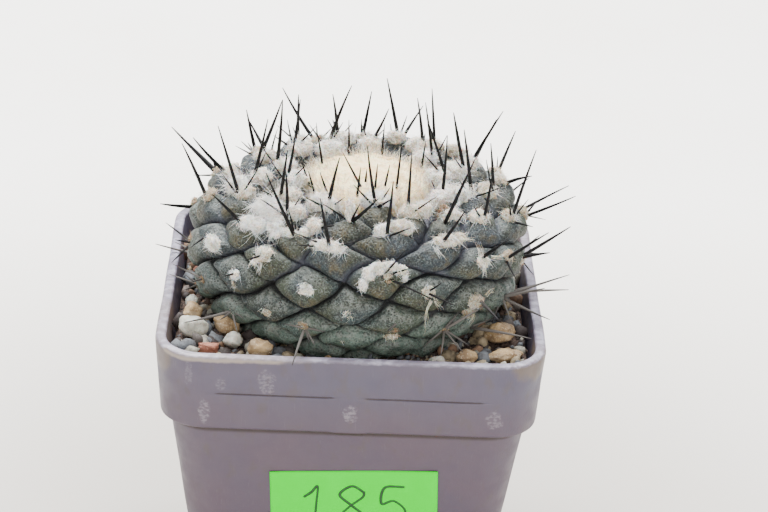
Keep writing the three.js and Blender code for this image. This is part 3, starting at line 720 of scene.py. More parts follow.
def bank(x, y):
    """How far the bed rises into the pot's corners, where stones gather: 0.8 mm over the last 6 mm."""
    near_wall = smoothstep(24 * MM, 30 * MM, np.maximum(np.abs(x), np.abs(y)))
    return 0.8 * MM * near_wall * smoothstep(8 * MM, 16 * MM, np.minimum(np.abs(x), np.abs(y)))


bed_rings = [bed_ring(z, 0, 0) for z in np.linspace(floor_top + wall_gap, soil_level - 1 * MM, 24)]
bed_rings += [bed_ring(soil_level - 0.3 * MM, 0.3 * MM, 0)]
bed_rings += [bed_ring(soil_level, 0.8 * MM * (1 - t), t) for t in np.linspace(0, 1, 34)]
bed_rings += [bed_ring(soil_level - dip, 0, 1) for dip in (1 * MM, 2.5 * MM, 4 * MM)]
bed = np.stack(bed_rings)
top_share = smoothstep(soil_level - 1 * MM, soil_level - 0.1 * MM, bed[..., 2])
crumble = relief(bed, 11, (0.28, 4 * MM), (0.18, 1.6 * MM), (0.1, 0.8 * MM))
bed[..., 2] += top_share * MM * np.clip(crumble, -0.7, 0.8)
bed[..., 2] += top_share * bank(bed[..., 0], bed[..., 1])
add_piece("soil_bed", *tube(bed), humus, "soil", ["soil"])

# %% [markdown]
# ## Stones
# A broken pebble is a convex lump whose faces were ground round. Sculpting 32 of them by hand gives no
# better shapes than a rule does. With random planes n_k at distances d_k, the surface in a direction p lies
# at the radius (sum of max(0, n_k . p / d_k)^q)^(-1/q). A large q leaves the planes sharp, as on quarried
# grit, and a small one melts them into a river pebble. Relief roughens it.

# %% A ball of triangles and the stone it becomes


def ball(levels):
    """Points and triangles of an icosahedron whose faces are split in four again and again."""
    golden = (1 + 5**0.5) / 2
    points = np.array([(x, y * golden, 0) for x in (-1, 1) for y in (-1, 1)], float)
    points = np.concatenate([points, points[:, [2, 0, 1]], points[:, [1, 2, 0]]])
    points /= np.linalg.norm(points[0])
    gap_shade = np.linalg.norm(points[:, None] - points[None], axis=-1)
    near = gap_shade < gap_shade[gap_shade > 0.1].min() * 1.1
    a, b, c = np.nonzero(near[:, :, None] & near[None] & near[:, None, :])
    faces = np.stack([a, b, c], axis=-1)[(a < b) & (b < c)]
    faces = faces[(gap_shade[faces[:, 0], faces[:, 1]] > 0.1) & (gap_shade[faces[:, 1], faces[:, 2]] > 0.1)]
    sides = [points[faces[:, k]] - points[faces[:, 0]] for k in (1, 2)]
    inwards = (np.cross(*sides) * points[faces[:, 0]]).sum(axis=1) < 0
    faces[inwards] = faces[inwards][:, ::-1]
    for _ in range(levels):
        pairs = np.sort(faces[:, [[0, 1], [1, 2], [2, 0]]].reshape(-1, 2), axis=1)
        edges, order = np.unique(pairs, axis=0, return_inverse=True)
        ab, bc, ca = (order.reshape(-1, 3) + len(points)).T
        a, b, c = faces.T
        quarters = [(a, ab, ca), (ab, b, bc), (ca, bc, c), (ab, bc, ca)]
        faces = np.concatenate([np.stack(q, axis=-1) for q in quarters])
        points = np.concatenate([points, unit(points[edges].sum(axis=1))])
    return points, faces


def stone(points, seed, sharpness, planes=15):
    """Radii that turn a unit ball into a stone, by the formula of planes above."""
    random = np.random.default_rng(seed)
    ways = unit(random.normal(size=(planes, 3)))
    ways = np.concatenate([ways, -ways])
    far = random.uniform(0.72, 1.0, len(ways))
    push = np.clip(points @ ways.T, 0, None) / far
    return (push**sharpness).sum(axis=1) ** (-1 / sharpness)


ball_points, ball_faces = ball(3)
print("a ball has", len(ball_faces), "triangles")

# %% [markdown]
# Four rocks are in the gravel: milky quartz, tan sandstone, crushed brick and blue slate. They differ in
# colour, grain and gloss but are built alike, so one function mixes all four from their own values.

# %% What the stones are


def pebble_rock(name, light, dark, speck, roughness, grain, glow=0.0):
    """A rock with cloudy colour, mineral specks and pits; `glow` lets light a little way into quartz."""
    paint = Paint(name, dark)
    paint.coat(light, paint.patches(2.4, 5, 0.32, 0.66))
    paint.coat(speck, paint.patches(grain, 3, 0.58, 0.68, 0, 0.75))
    paint.coat(speck, paint.patches(1.5, 8, 0.5, 0.56, stretch=(2.5, 0.7, 0.7)), 0.25)
    height = paint.node("SeparateXYZ", paint.where, out="Z")
    paint.coat("#3a2e28", paint.node("ease", height, 63 * MM, 61 * MM, 0, 0.55))
    dents = (paint.patches(0.9, 8), 0.25), (paint.patches(grain, 4), 0.06)
    return paint.finished(*dents, Roughness=roughness, Subsurface_Weight=glow, Subsurface_Scale=1 * MM)


rocks = {
    "quartz": pebble_rock("milky_quartz", "#cfcdc2", "#a5a497", "#84847a", 0.42, 0.5, 0.15),
    "sandstone": pebble_rock("tan_sandstone", "#ad926a", "#776046", "#c8b89e", 0.8, 0.3),
    "brick": pebble_rock("fired_brick", "#98624f", "#704236", "#b58873", 0.85, 0.3),
    "slate": pebble_rock("blue_slate", "#5f656d", "#363a41", "#868b8e", 0.6, 0.35),
}

# %% Give each pebble its surface
slots = {part["node"]: part["material_slot"] for part in frame["record"]["subparts"]}
pebble_names = sorted(name for name in frame["nodes"] if name.startswith("pebble_"))
pebble_low, pebble_high = np.array([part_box(name) for name in pebble_names]).transpose(1, 0, 2)
sharpness = {"quartz": 12, "sandstone": 20, "brick": 20, "slate": 26}
for number, name in enumerate(pebble_names):
    kind = slots[name]
    form = ball_points * stone(ball_points, 300 + number, sharpness[kind])[:, None]
    rough = 0.035 * ripple(form, 0.7, 400 + number) + 0.02 * ripple(form, 0.28, 500 + number)
    form = form * (1 + rough)[:, None]
    form = (form - form.min(axis=0)) / (form.max(axis=0) - form.min(axis=0))
    place = pebble_low[number] + form * (pebble_high - pebble_low)[number]
    add_piece(f"stone_{name[-2:]}", place, ball_faces, rocks[kind], kind, [name])

# %% [markdown]
# Between the pebbles lie grit of every rock and flat bits of bark, some two thousand lumps. Placed as objects
# they would slow the scene down, so each kind is one mesh: six lumps, turned and squashed at random places.

# %% Strew grit between the pebbles


def bare_places(count, size, seed):
    """Random places on the soil that are clear of the wall, the plant's hole and the pebbles.

    Large grains also stay out of the narrow gap in front of the plant.
    """
    random = np.random.default_rng(seed)
    tries, wall_margin, corner_radius = 12, 1.2 * MM, 6 * MM
    room = float(inside_half(soil_level)) - wall_margin
    places = random.uniform(-room, room, (count * tries, 2))
    over = np.clip(np.abs(places) - (room - corner_radius), 0, None)
    kept = np.hypot(*over.T) < corner_radius
    kept &= np.hypot(places[:, 0] - plant_x, places[:, 1]) > float(plant_reach(soil_level)) - 2 * MM
    middle = (pebble_low + pebble_high)[:, :2] / 2
    half = (pebble_high - pebble_low)[:, :2] / 2 + size * 0.3
    inside = ((((places[:, None] - middle) / half) ** 2).sum(axis=-1) < 0.6).any(axis=1)
    shaded = (np.abs(places[:, 0] - 5 * MM) < 11 * MM) & (places[:, 1] < 0) & (size > 2 * MM)
    return places[kept & ~inside & ~shaded][:count]


def strewn(places, sizes, squash, sharp, seed, levels):
    """Small stones at given places, each a turned copy of one of six lumps, partly sunk in the soil.

    `squash` is the range that two of a stone's three widths are shrunk to, and `levels` how finely it is cut.
    """
    random = np.random.default_rng(seed)
    lump, faces = ball(levels)
    kinds = np.stack([lump * stone(lump, seed + k, sharp, 7)[:, None] for k in range(6)])
    shapes = kinds[random.integers(0, 6, len(places))]
    turns, _ = np.linalg.qr(random.normal(size=(len(places), 3, 3)))
    turns *= np.linalg.det(turns)[:, None, None]
    stretch = np.column_stack([random.uniform(*squash, (len(places), 2)), np.ones(len(places))])
    shapes = np.einsum("nij,nkj->nki", turns, shapes * stretch[:, None]) * sizes[:, None, None] / 2
    low = shapes[..., 2].min(axis=1)
    height = soil_level + bank(*places.T) - low - sizes * random.uniform(0.15, 0.45, len(places))
    shapes += np.column_stack([places, height])[:, None]
    numbers = np.arange(len(places))[:, None, None] * len(lump) + faces
    tint = np.repeat(random.random(len(places)), len(lump))
    return shapes.reshape(-1, 3), numbers.reshape(-1, 3), {"tint": tint}


print("room for grains of 4 mm:", len(bare_places(500, 4 * MM, 1)), "of 500")

# %% Grit as a material, and the strewing


def mixed_grit():
    """Grit of every rock in the mix; each grain's own number picks its colour."""
    paint = Paint("mixed_grit", "#49433f")
    tint = paint.node("Attribute", attribute_name="tint", out="Fac")
    shades = {0.25: "#8f8168", 0.45: "#9f9c8f", 0.62: "#5a5e63", 0.8: "#7d624d", 0.9: "#2e2523"}
    for share, shade in shades.items():
        paint.coat(shade, paint.node("ease", tint, share, share + 0.02))
    paint.coat("#2b211e", paint.patches(0.8, 6, 0.42, 0.7, 0, 0.5))
    return paint.finished((paint.patches(0.4, 5), 0.12), Roughness=0.75)


def strew(name, count, least, most, squash, sharp, seed, levels, material):
    """Makes one mesh of strewn lumps whose sizes, in millimetres, lean to the small end of their range."""
    random = np.random.default_rng(seed)
    places = bare_places(count, most * MM, seed)
    sizes = (least + (most - least) * random.random(len(places)) ** 2) * MM
    points, faces, values = strewn(places, sizes, squash, sharp, seed, levels)
    add_piece(name, points, faces, material, "soil", values=values)


grit = mixed_grit()
strew("fine_grit", 1500, 0.6, 1.5, (0.7, 1.0), 9, 61, 0, grit)
strew("coarse_grit", 460, 1.8, 4.2, (0.6, 1.0), 9, 62, 1, grit)
strew("bark_bits", 110, 1.4, 4.5, (0.25, 0.45), 12, 63, 1, humus)

# %% [markdown]
# ## The plant's skin
# Botanists call the bumps tubercles: each is one leaf base. They grow one after another from the crown, every
# new one a fixed angle on from the last, and the eye reads them as spirals. Bumps placed one by one would
# leave gaps. Here 9 spirals that wind down to the right cross 14 that wind down to the left, so the surface
# is a lattice of rhombic cells without gaps, and a tubercle's age is 9 times its step along one family plus
# 14 times its step along the other. The outline runs through the tubercles' tips. Each cell sinks from its
# tip to creases that it shares with its neighbours, and its lower half sags, so a chin hangs over the next.

# %% The lattice
crown_rise = 13 * MM
crown_power = 3.2
crown_lean = np.array([1.8 * MM, 0.8 * MM])
right_spirals = 9
left_spirals = 14
step_right = 16.8
first_angle = -5.6
step_left = (left_spirals * step_right - 360) / right_spirals
youngest = -38
oldest = 76
young_crease = 3.3 * MM
old_crease = 2.5 * MM
chin_sag = 2.4 * MM
peak_shift = -0.06
back_power = 2.8
old_back_power = 5.5
chin_power = 4.5
plumpness = np.random.default_rng(5).uniform(-0.45, 0.35, oldest - youngest + 1) * MM

# How far a cell lies from the crown's middle along the outline: start + step w - slowing w^2.
along_start = 29.8 * MM
along_step = 48 * MM
along_slowing = 6 * MM

# Tubercles at the front that grew out of step: age, degrees to the right and millimetres downhill.
strays = [(-9, -7, 0), (-5, 5, -0.5), (0, -8, -2.4), (4, 4, 1), (9, -4, -0.8), (14, 2, 0.5)]
strays += [(18, -5, -0.4), (19, 5, 0), (23, 0, 1), (28, 3, 1.5), (41, 2, 0.5), (46, -3, -1)]

print("a step to the right turns", step_right, "degrees, one to the left", round(step_left, 2))

# %% The outline through the tubercles' tips
slope_angle = np.radians(np.linspace(0, 180, 721))
above = slope_angle < np.pi / 2
bend_power = np.where(above, 2 / crown_power, 2 / foot_power)
outline_r = plant_radius * np.abs(np.sin(slope_angle)) ** bend_power
outline_z = np.where(above, crown_rise, foot_drop) * np.abs(np.cos(slope_angle)) ** bend_power
outline_z = plant_waist + np.sign(np.cos(slope_angle)) * outline_z
outline_along = np.concatenate([[0], np.cumsum(np.hypot(np.diff(outline_r), np.diff(outline_z)))])
print("from crown to foot in mm:", round(outline_along[-1] / MM, 1))

# %% How far a tubercle strays and swells


def pull_of_strays(right, left):
    """How far the strays turn a place and move it downhill, fading to nothing one cell away."""
    turn, drop = np.zeros_like(right), np.zeros_like(right)
    for age, degrees, downhill in strays:
        lap = np.round((right + 3 * age) / left_spirals)
        near = smoothstep(0, 1, 1 - np.abs(right + 3 * age - lap * left_spirals))
        near = near * smoothstep(0, 1, 1 - np.abs(left - 2 * age + lap * right_spirals))
        turn += degrees * near
        drop += downhill * MM * near
    return turn, drop


def side_swell(t, grown):
    """1 at a cell's shifted middle and 0 at both its sides: 1 - |2 d| ^ p, with d = t - s (1 - 4 t^2).

    The power p is higher downhill, where the chin stays full nearly to the crease. Uphill it grows with age,
    as `grown` goes from 0 to 1, because old tubercles are pressed together.
    """
    d = t - peak_shift * (1 - 4 * t * t)
    uphill = back_power + (old_back_power - back_power) * grown
    return 1 - np.abs(2 * d) ** np.where(d > 0, chin_power, uphill)


def downhill_share(u, v):
    """-1 at a cell's uphill corner, 0 level with its middle and 1 at its downhill corner."""
    return (u / left_spirals + v / right_spirals) / (0.5 / left_spirals + 0.5 / right_spirals)


print("swell a quarter cell uphill and downhill:", np.round(side_swell(np.array([-0.25, 0.25]), 0), 2))

# %% Every point of the skin


def skin_at(i, j, u, v, lift=0.0):
    """Points on the skin with their outward, downhill and sideways directions and their swell.

    i and j count cells along the two families of spirals, and u and v run from -0.5 to 0.5 inside one cell.
    In start + step w - slowing w^2, w grows by one for every round of either family. The angle adds a fixed
    turn for each step. Young creases are deeper, and the lower half of old cells sags less.
    """
    right, left = i + u - peak_shift, j + v - peak_shift
    turn, drop = pull_of_strays(right, left)
    w = right / left_spirals + left / right_spirals
    along = along_start + along_step * w - along_slowing * w * w + drop
    angle = np.radians(first_angle + right * step_right + left * step_left + turn)
    before, here, after = (
        [np.interp(along + step, outline_along, line) for line in (outline_r, outline_z)]
        for step in (-0.5 * MM, 0, 0.5 * MM)
    )
    run, fall = after[0] - before[0], after[1] - before[1]
    run, fall = (side[..., None] / np.hypot(run, fall)[..., None] for side in (run, fall))
    r, z = here
    sideways = np.stack([np.cos(angle), np.sin(angle), np.zeros_like(angle)], axis=-1)
    across = sideways[..., [1, 0, 2]] * [1, -1, 1]
    up = np.array([0, 0, 1.0])
    downhill = across * run + up * fall
    outwards = across * -fall + up * run
    age = right_spirals * right + left_spirals * left
    grown = smoothstep(0, 30, age)
    swell = side_swell(u, grown) * side_swell(v, grown)
    high = np.clip((z - plant_waist) / crown_rise, 0, 1)[..., None]
    middle = np.concatenate([plant_x + crown_lean[0] * high, crown_lean[1] * high, z[..., None]], axis=-1)
    depth = young_crease + (old_crease - young_crease) * smoothstep(-10, 40, age)
    slack = 1 - 0.35 * grown - 0.3 * smoothstep(30, 50, age)
    sag = chin_sag * slack * swell * smoothstep(0, 1, downhill_share(u, v))
    rise = lift - depth * (1 - swell)
    point = middle + across * r[..., None] + outwards * rise[..., None] + downhill * sag[..., None]
    return point, outwards, downhill, sideways, swell


def areoles(ages, lift=0.0):
    """Where wool and spines grow: the tips of the tubercles of some ages, with their own three directions."""
    ages = np.asarray(ages)
    shift = np.full(len(ages), peak_shift)
    lift = lift + plumpness[ages - youngest]
    tips, outwards, downhill, sideways, _ = skin_at(-3.0 * ages, 2.0 * ages, shift, shift, lift)
    return tips, np.stack([sideways, -downhill, outwards], axis=1)


def turned(vectors, basis):
    """Vectors given as right, uphill and outwards from a tubercle, turned into the scene's directions."""
    return np.einsum("n...k,nkj->n...j", vectors, basis)


print("tubercles:", oldest - youngest + 1, "youngest tip at", np.round(areoles([youngest])[0][0] / MM, 1))

# %% Make the skin
cell_steps = 24
ages = np.arange(youngest, oldest + 1)
steps = np.arange(cell_steps + 1) - cell_steps // 2
age_grid, a_grid, b_grid = np.meshgrid(ages, steps, steps, indexing="ij")
i_grid, j_grid = -3 * age_grid, 2 * age_grid
lap = np.floor_divide(cell_steps * i_grid + a_grid, left_spirals * cell_steps)
key_right = cell_steps * i_grid + a_grid - lap * left_spirals * cell_steps
key_left = cell_steps * j_grid + b_grid + lap * right_spirals * cell_steps
keys = np.stack([key_right, key_left], axis=-1).reshape(-1, 2)
_, chosen, number = np.unique(keys, axis=0, return_index=True, return_inverse=True)
number = number.reshape(age_grid.shape)
u_all, v_all = (grid.ravel()[chosen] / cell_steps for grid in (a_grid, b_grid))
crowding = 0.09  # draws the rows of points towards the creases, where the skin bends most
u_all, v_all = (t + crowding * np.sin(2 * np.pi * t) for t in (u_all, v_all))
i_all, j_all = (grid.ravel()[chosen].astype(float) for grid in (i_grid, j_grid))
skin, skin_out, _, _, skin_swell = skin_at(i_all, j_all, u_all, v_all)
skin_age = age_grid.ravel()[chosen]
plump = plumpness[skin_age - youngest] * skin_swell**0.7
bumps = relief(skin, 21, (0.16, 4.5 * MM), (0.05, 1.5 * MM), (0.02, 0.6 * MM)) * MM
young_opening = 0.35
groove_depth = 0.7 * MM
opened = young_opening + (1 - young_opening) * smoothstep(-8, 12, skin_age)
groove = groove_depth * smoothstep(0.2, 0, skin_swell) * opened
skin = skin + skin_out * (plump + bumps * (0.25 + 0.75 * skin_swell) - groove)[:, None]
low_side = downhill_share(u_all, v_all)
# Where the painted contact shadow of the creases lies: a thin line round young cells, wider round old pressed
# ones and along the edge below each chin, where one tubercle shades the next.
pressed = smoothstep(8, 26, skin_age) * (0.6 + 0.4 * smoothstep(-0.3, 0.2, low_side))
crease = smoothstep(0.3 + 0.3 * pressed, 0.02 + 0.38 * pressed, skin_swell) * opened
skin_corners = [number[:, :-1, :-1], number[:, :-1, 1:], number[:, 1:, 1:], number[:, 1:, :-1]]
skin_faces = np.stack(skin_corners, axis=-1).reshape(-1, 4)
print("skin points:", len(skin))

# %% Close it at the crown and at the foot


def share_of_ages(age):
    """(age - youngest) / (oldest - youngest), as the skin's age is kept for its material."""
    return (age - youngest) / (oldest - youngest)


def close_skin(points, faces, tops, bottoms):
    """Fans from two centre points to the open edges, which are those that no face runs along backwards."""
    starts, ends = faces.ravel(), np.roll(faces, -1, axis=1).ravel()
    codes, backwards = starts * len(points) + ends, ends * len(points) + starts
    free = ~np.isin(codes, backwards)
    starts, ends = starts[free], ends[free]
    high = points[starts, 2] > plant_waist
    centre = np.where(high, len(points), len(points) + 1)
    return np.concatenate([points, [tops, bottoms]]), np.stack([ends, starts, centre], axis=-1)


crown_floor = [plant_x + crown_lean[0], crown_lean[1], plant_waist + crown_rise - young_crease]
plant_foot = [plant_x, 0, plant_waist - foot_drop + 2 * MM]
skin, skin_ends = close_skin(skin, skin_faces, crown_floor, plant_foot)
skin_values = {
    "swell": np.append(skin_swell, [0, 0]),
    "chin": np.append(low_side, [0, 0]),
    "age": np.append(share_of_ages(skin_age), [0, 1]),
    "crease": np.append(crease, [1, 1]),
}
print("open edges closed:", len(skin_ends))

# %% [markdown]
# The real skin is slate green under a grey bloom of wax, which rubs off on the chins and lets olive show.
# Dust gathers on the upper slopes, and old skin turns pale; the oldest is painted paler still, as light on
# the shaded foot of the plant. Painted shade fills the valleys between young tubercles, and a painted contact
# shadow lines the creases. A painted texture would stretch over the bumps, so the coats follow numbers that
# each point keeps: its swell, its age, its chin and its crease.

# %% Waxy skin


def waxy_skin():
    """Slate-green skin with bloom: dusty on its upper slopes, olive on the chins, netted with fine pits;
    painted shade lies in its valleys and creases, and painted light on its oldest cells.

    The real pits are about 0.1 mm wide and the wax is finer still, so both are drawn coarser to show.
    """
    paint = Paint("waxy_cactus_skin")
    node, patches = paint.node, paint.patches
    swell, chin, age, gap = (
        node("Attribute", attribute_name=name, out="Fac") for name in ("swell", "chin", "age", "crease")
    )
    # Blue-grey and olive patches, and a paler grey-green on the oldest skin, partly painted light for the
    # shaded foot of the plant.
    cloud, hue = patches(2.6, 5, 0.35, 0.65), patches(11, 2, 0.42, 0.58)
    young = node("mix", cloud, "#18222c", "#252f38"), node("mix", cloud, "#25281c", "#353623")
    grown = node("mix", cloud, "#101e21", "#1c2d30"), node("mix", cloud, "#1c2416", "#2a321f")
    paint.colour = node("mix", hue, *young)
    paint.coat(node("mix", hue, *grown), node("ease", age, 0.15, 0.45))
    paint.coat(node("mix", cloud, "#41544a", "#627468"), node("ease", age, 0.56, 0.78))
    # Olive where the chins are rubbed, and dust on the slopes that face up.
    ridge = node("ease", chin, -0.1, 0.5), node("ease", swell, 0.3, 0.85)
    paint.coat("#463c1f", *ridge, patches(1.8, 6, 0.4, 0.65), 0.8)
    shelf = node("ease", chin, 0.1, -0.6), node("ease", swell, 0.05, 0.4)
    paint.coat("#626660", *shelf, patches(1.3, 6, 0.4, 0.6, 0.1, 0.8))
    # Dark pits in a net, and grains of wax between them, fewer on the chins.
    net = node("TexVoronoi", node("Mapping", paint.where, Scale=[1 / (0.48 * MM)] * 3), Scale=1)
    mottle, grains = patches(2, 6), patches(0.24, 3)
    pits = node("ease", net, 0.5, 0.2), node("ease", mottle, 0.36, 0.6, 0.5, 1)
    paint.coat("#0a0f0e", *pits, node("ease", age, 0.56, 0.8, 1, 0.55))
    dust = node("ease", grains, 0.5, 0.6), node("ease", net, 0.25, 0.6, 0.25, 1)
    settled = node("ease", mottle, 0.38, 0.66, 0.3, 0.64), node("ease", chin, 0.7, -0.3, 0.6, 0.9)
    paint.coat("#7c8581", *dust, *settled)
    # Painted soft shade in the mauve-grey valleys between the young tubercles, and a painted contact shadow,
    # patchy with dust, in the creases.
    youth = node("ease", age, share_of_ages(16), share_of_ages(2))
    valley_shade = node("mix", mottle, "#2b2d36", "#5b5e6b")
    paint.coat(valley_shade, node("ease", swell, 0.7, 0.12), youth, 0.8)
    filled = patches(6, 3, 0.42, 0.56)
    crease_shadow = node("mix", filled, "#070909", "#191b1e"), node("mix", filled, "#292b34", "#444754")
    paint.coat(node("mix", youth, *crease_shadow), gap, 0.94)
    dents = (grains, 0.16), (net, 0.18), (patches(0.9, 5), 0.3)
    return paint.finished(*dents, Roughness=0.66, Subsurface_Weight=0.05, Subsurface_Scale=1 * MM)


add_piece("cactus_skin", skin, [skin_faces, skin_ends], waxy_skin(), "plant_skin", ["cactus"], skin_values)

# %% [markdown]
# The taproot is hidden in the soil: a thick turnip-like root that stores water. It is nearly round, so rings
# from a short profile are enough, with fourteen shallow furrows that wind a little and brown corky bark.

# %% Make the taproot


def root_bark():
    """Brown corky bark with furrows that run down the root."""
    paint = Paint("root_bark", "#4a3728")
    furrows = paint.patches(1.5, 6, stretch=(1, 1, 4))
    paint.coat("#7d6549", paint.node("ease", furrows, 0.35, 0.65))
    return paint.finished((furrows, 0.6), Roughness=0.85)


# Radius and height along the root, in millimetres.
root_profile = np.array([(2, 27), (7, 38), (12, 50), (17, 56), (17, 59)]) * MM
root_heights = np.linspace(27, 59, 40)[:, None] * MM
root_turn = np.linspace(0, 2 * np.pi, 48, endpoint=False)
root_reach = np.interp(root_heights, root_profile[:, 1], root_profile[:, 0])
root_reach = root_reach * (1 - 0.05 * np.sin(7 * root_turn + 60 * root_heights) ** 2)
root = round_rings(root_reach, root_turn, root_heights, [plant_x, 0])
add_piece("taproot", *tube(root), root_bark(), "plant_skin", ["cactus"])

# %% [markdown]
# ## Wool
# Each tubercle carries at its tip an areole, a cushion of short hairs. Young ones are thick white tufts that
# close over the crown, and with age they wear down, turn cream and brown, and come loose in strands. Particle
# hair would need its own render settings and is lost on export. So a tuft is a lumpy felted body with single
# hairs on it, each a thin three-sided tube along a bent line, and thousands are worked out in one table.

# %% Hairs and tufts


def strands(roots, aims, bends, radii, rings, sides, sway=None, tip=0.15, taper=1.5):
    """Closed tapering tubes along root + aim t + bend t^2, swayed by a sine wave where that is given."""
    t = np.linspace(0, 1, rings)[None, :, None]
    line = roots[:, None] + aims[:, None] * t + bends[:, None] * t * t
    if sway is not None:
        line = line + sway[:, None] * np.sin(t * 5.5) * t
    way = unit(np.gradient(line, axis=1))
    steep = np.abs(aims[:, 2]) > 0.7 * np.linalg.norm(aims, axis=1)
    helper = np.where(steep[:, None], [1.0, 0, 0], [0, 0, 1.0])[:, None]
    across = unit(np.cross(way, np.broadcast_to(helper, way.shape)))
    over = np.cross(way, across)
    angles = np.arange(sides) * 2 * np.pi / sides
    width = radii[:, None] * (1 - (1 - tip) * t[..., 0] ** taper)
    ring = across[:, :, None] * np.cos(angles)[:, None] + over[:, :, None] * np.sin(angles)[:, None]
    points = line[:, :, None] + ring * width[..., None, None]
    first = np.arange(len(roots))[:, None, None] * rings * sides
    quads = first + grid_quads(rings, sides, True)[None]
    start = first[:, :, 0] + np.arange(sides)[::-1]
    end = first[:, :, 0] + np.arange(sides) + (rings - 1) * sides
    return points.reshape(-1, 3), [quads.reshape(-1, 4), np.concatenate([start, end])]


def add_strands(name, roots, aims, bends, radii, rings, sides, dress, values, **form):
    """Makes one piece of many strands; `dress` is its material, its slot, which is not used, and the solids
    it stands for.

    `values` names a number that the material reads, and gives it for each strand or each of its rings.
    """
    points, faces = strands(roots, aims, bends, radii, rings, sides, **form)
    each = {
        key: np.repeat(np.broadcast_to(np.reshape(numbers, (len(roots), -1)), (len(roots), rings)), sides)
        for key, numbers in values.items()
    }
    add_piece(name, points, faces, *dress, each)


def woolliness(age):
    """1 beside the crown, and less with age down to 0 on the oldest woolly areole."""
    return np.clip(1 - (np.asarray(age) - youngest) / (30 - youngest), 0, 1)


print("woolliness at age 0:", round(float(woolliness(0)), 2))

# %% Where the tufts sit and how they look
# Tufts at the front as they look: age, then millimetres to the right of and uphill from the tubercle's tip,
# then width, height and lift in millimetres, and tone from white to brown.
known_tufts = [
    (-33, 0, 0.4, 7.0, 5.0, 3.0, 0.05),
    (-32, -0.8, 0.4, 8.0, 5.5, 3.0, 0.05),
    (-28, 0.8, 0.6, 6.0, 4.6, 2.2, 0.3),
    (-23, 0, 0.6, 2.4, 2.6, 6.4, 0.0),
    (-20, -0.6, 0.6, 5.4, 4.4, 2.4, 0.1),
    (-19, 2.2, 1.0, 5.2, 3.6, 2.2, 0.15),
    (-18, 0.6, 1.4, 5.0, 5.0, 2.4, 0.1),
    (-14, -0.7, 1.0, 3.6, 3.8, 2.0, 0.05),
    (-9, -1.4, 0.2, 5.0, 2.4, 1.2, 0.1),
    (-5, 0.9, 0.2, 6.4, 3.2, 1.8, 0.25),
    (-4, 1.0, 0.6, 5.0, 4.0, 1.8, 0.0),
    (0, -0.2, 0, 7.8, 3.4, 1.3, 0.15),
    (4, -0.2, -0.6, 3.6, 3.0, 1.3, 0.25),
    (5, 0.3, 0, 4.4, 3.6, 1.2, 0.25),
    (9, -2.6, 0.3, 2.8, 3.4, 1.0, 0.05),
    (10, 3.2, -0.4, 5.6, 3.6, 1.5, 0.05),
    (14, -0.5, -0.2, 2.7, 2.9, 0.9, 0.05),
    (18, 0.2, 0.3, 3.4, 2.8, 0.9, 0.4),
    (19, 0.2, -0.1, 3.4, 2.8, 1.0, 0.05),
    (22, 0, 0, 3.4, 2.8, 1.1, 0.4),
    (23, -0.3, 0.1, 2.6, 1.5, 0.55, 0.3),
    (27, -1.0, -0.2, 4.4, 3.6, 1.5, 0.5),
    (28, 0, -0.2, 2.3, 2.3, 0.5, 0.5),
    (32, -0.6, -1.2, 2.2, 1.6, 0.6, 1.0),
    (37, -0.3, 0.6, 2.8, 2.2, 0.7, 0.7),
    (46, 0, 0, 2.8, 1.4, 0.35, 0.6),
]
# More wool that has slipped or blown out of those tufts, in the same terms.
loose_wool = [
    (-18, -4.7, 0.2, 6.6, 5.5, 2.2, 0.0),
    (-18, -2.6, -1.4, 4.2, 4.4, 1.6, 0.0),
    (-4, 3.2, 1.4, 4.2, 4.0, 1.8, 0.0),
    (-9, -4.6, 1.4, 3.8, 4.6, 1.5, 0.0),
    (-9, -3.4, -0.6, 2.4, 3.0, 0.9, 0.0),
    (-9, 1.4, 1.2, 2.8, 2.8, 1.2, 0.1),
    (-9, 2.2, 3.2, 3.4, 4.4, 1.6, 0.1),
    (-14, 3.0, 2.2, 5.4, 3.4, 1.8, 0.2),
    (-28, 3.4, 1.4, 5.0, 4.0, 2.0, 0.1),
    (-13, -3.6, 1.0, 5.5, 5.0, 2.4, 0.0),
    (-33, 3.4, 1.2, 5.0, 4.6, 2.2, 0.05),
    (9, -3.6, -1.5, 2.0, 3.0, 0.8, 0.05),
    (9, -0.9, 1.3, 3.8, 3.0, 1.1, 0.05),
    (9, 1.3, 1.5, 3.8, 2.8, 1.0, 0.05),
    (9, 3.2, 1.0, 2.8, 2.4, 0.9, 0.1),
    (9, 3.9, -0.4, 1.3, 2.0, 0.6, 0.1),
    (9, 0.8, 0.0, 2.0, 1.6, 0.7, 0.45),
    (9, 0.9, -1.0, 1.3, 1.0, 0.6, 0.95),
    (14, 0.6, -0.3, 2.2, 2.7, 0.8, 0.1),
    (5, -1.0, -1.4, 2.0, 2.2, 0.7, 0.2),
    (19, 0.3, -2.0, 2.6, 1.8, 0.5, 0.35),
    (32, -0.9, -2.7, 3.4, 1.3, 0.6, 0.55),
    (23, 0.4, -0.6, 1.8, 1.0, 0.5, 0.3),
    (27, -2.6, -2.0, 2.8, 2.6, 0.9, 0.6),
    (27, 0.4, -1.6, 1.6, 1.4, 0.9, 1.0),
    (-5, 4.2, 0.6, 3.2, 2.2, 1.1, 0.35),
    (-19, 1.4, 2.6, 2.2, 1.6, 2.6, 0.8),
]
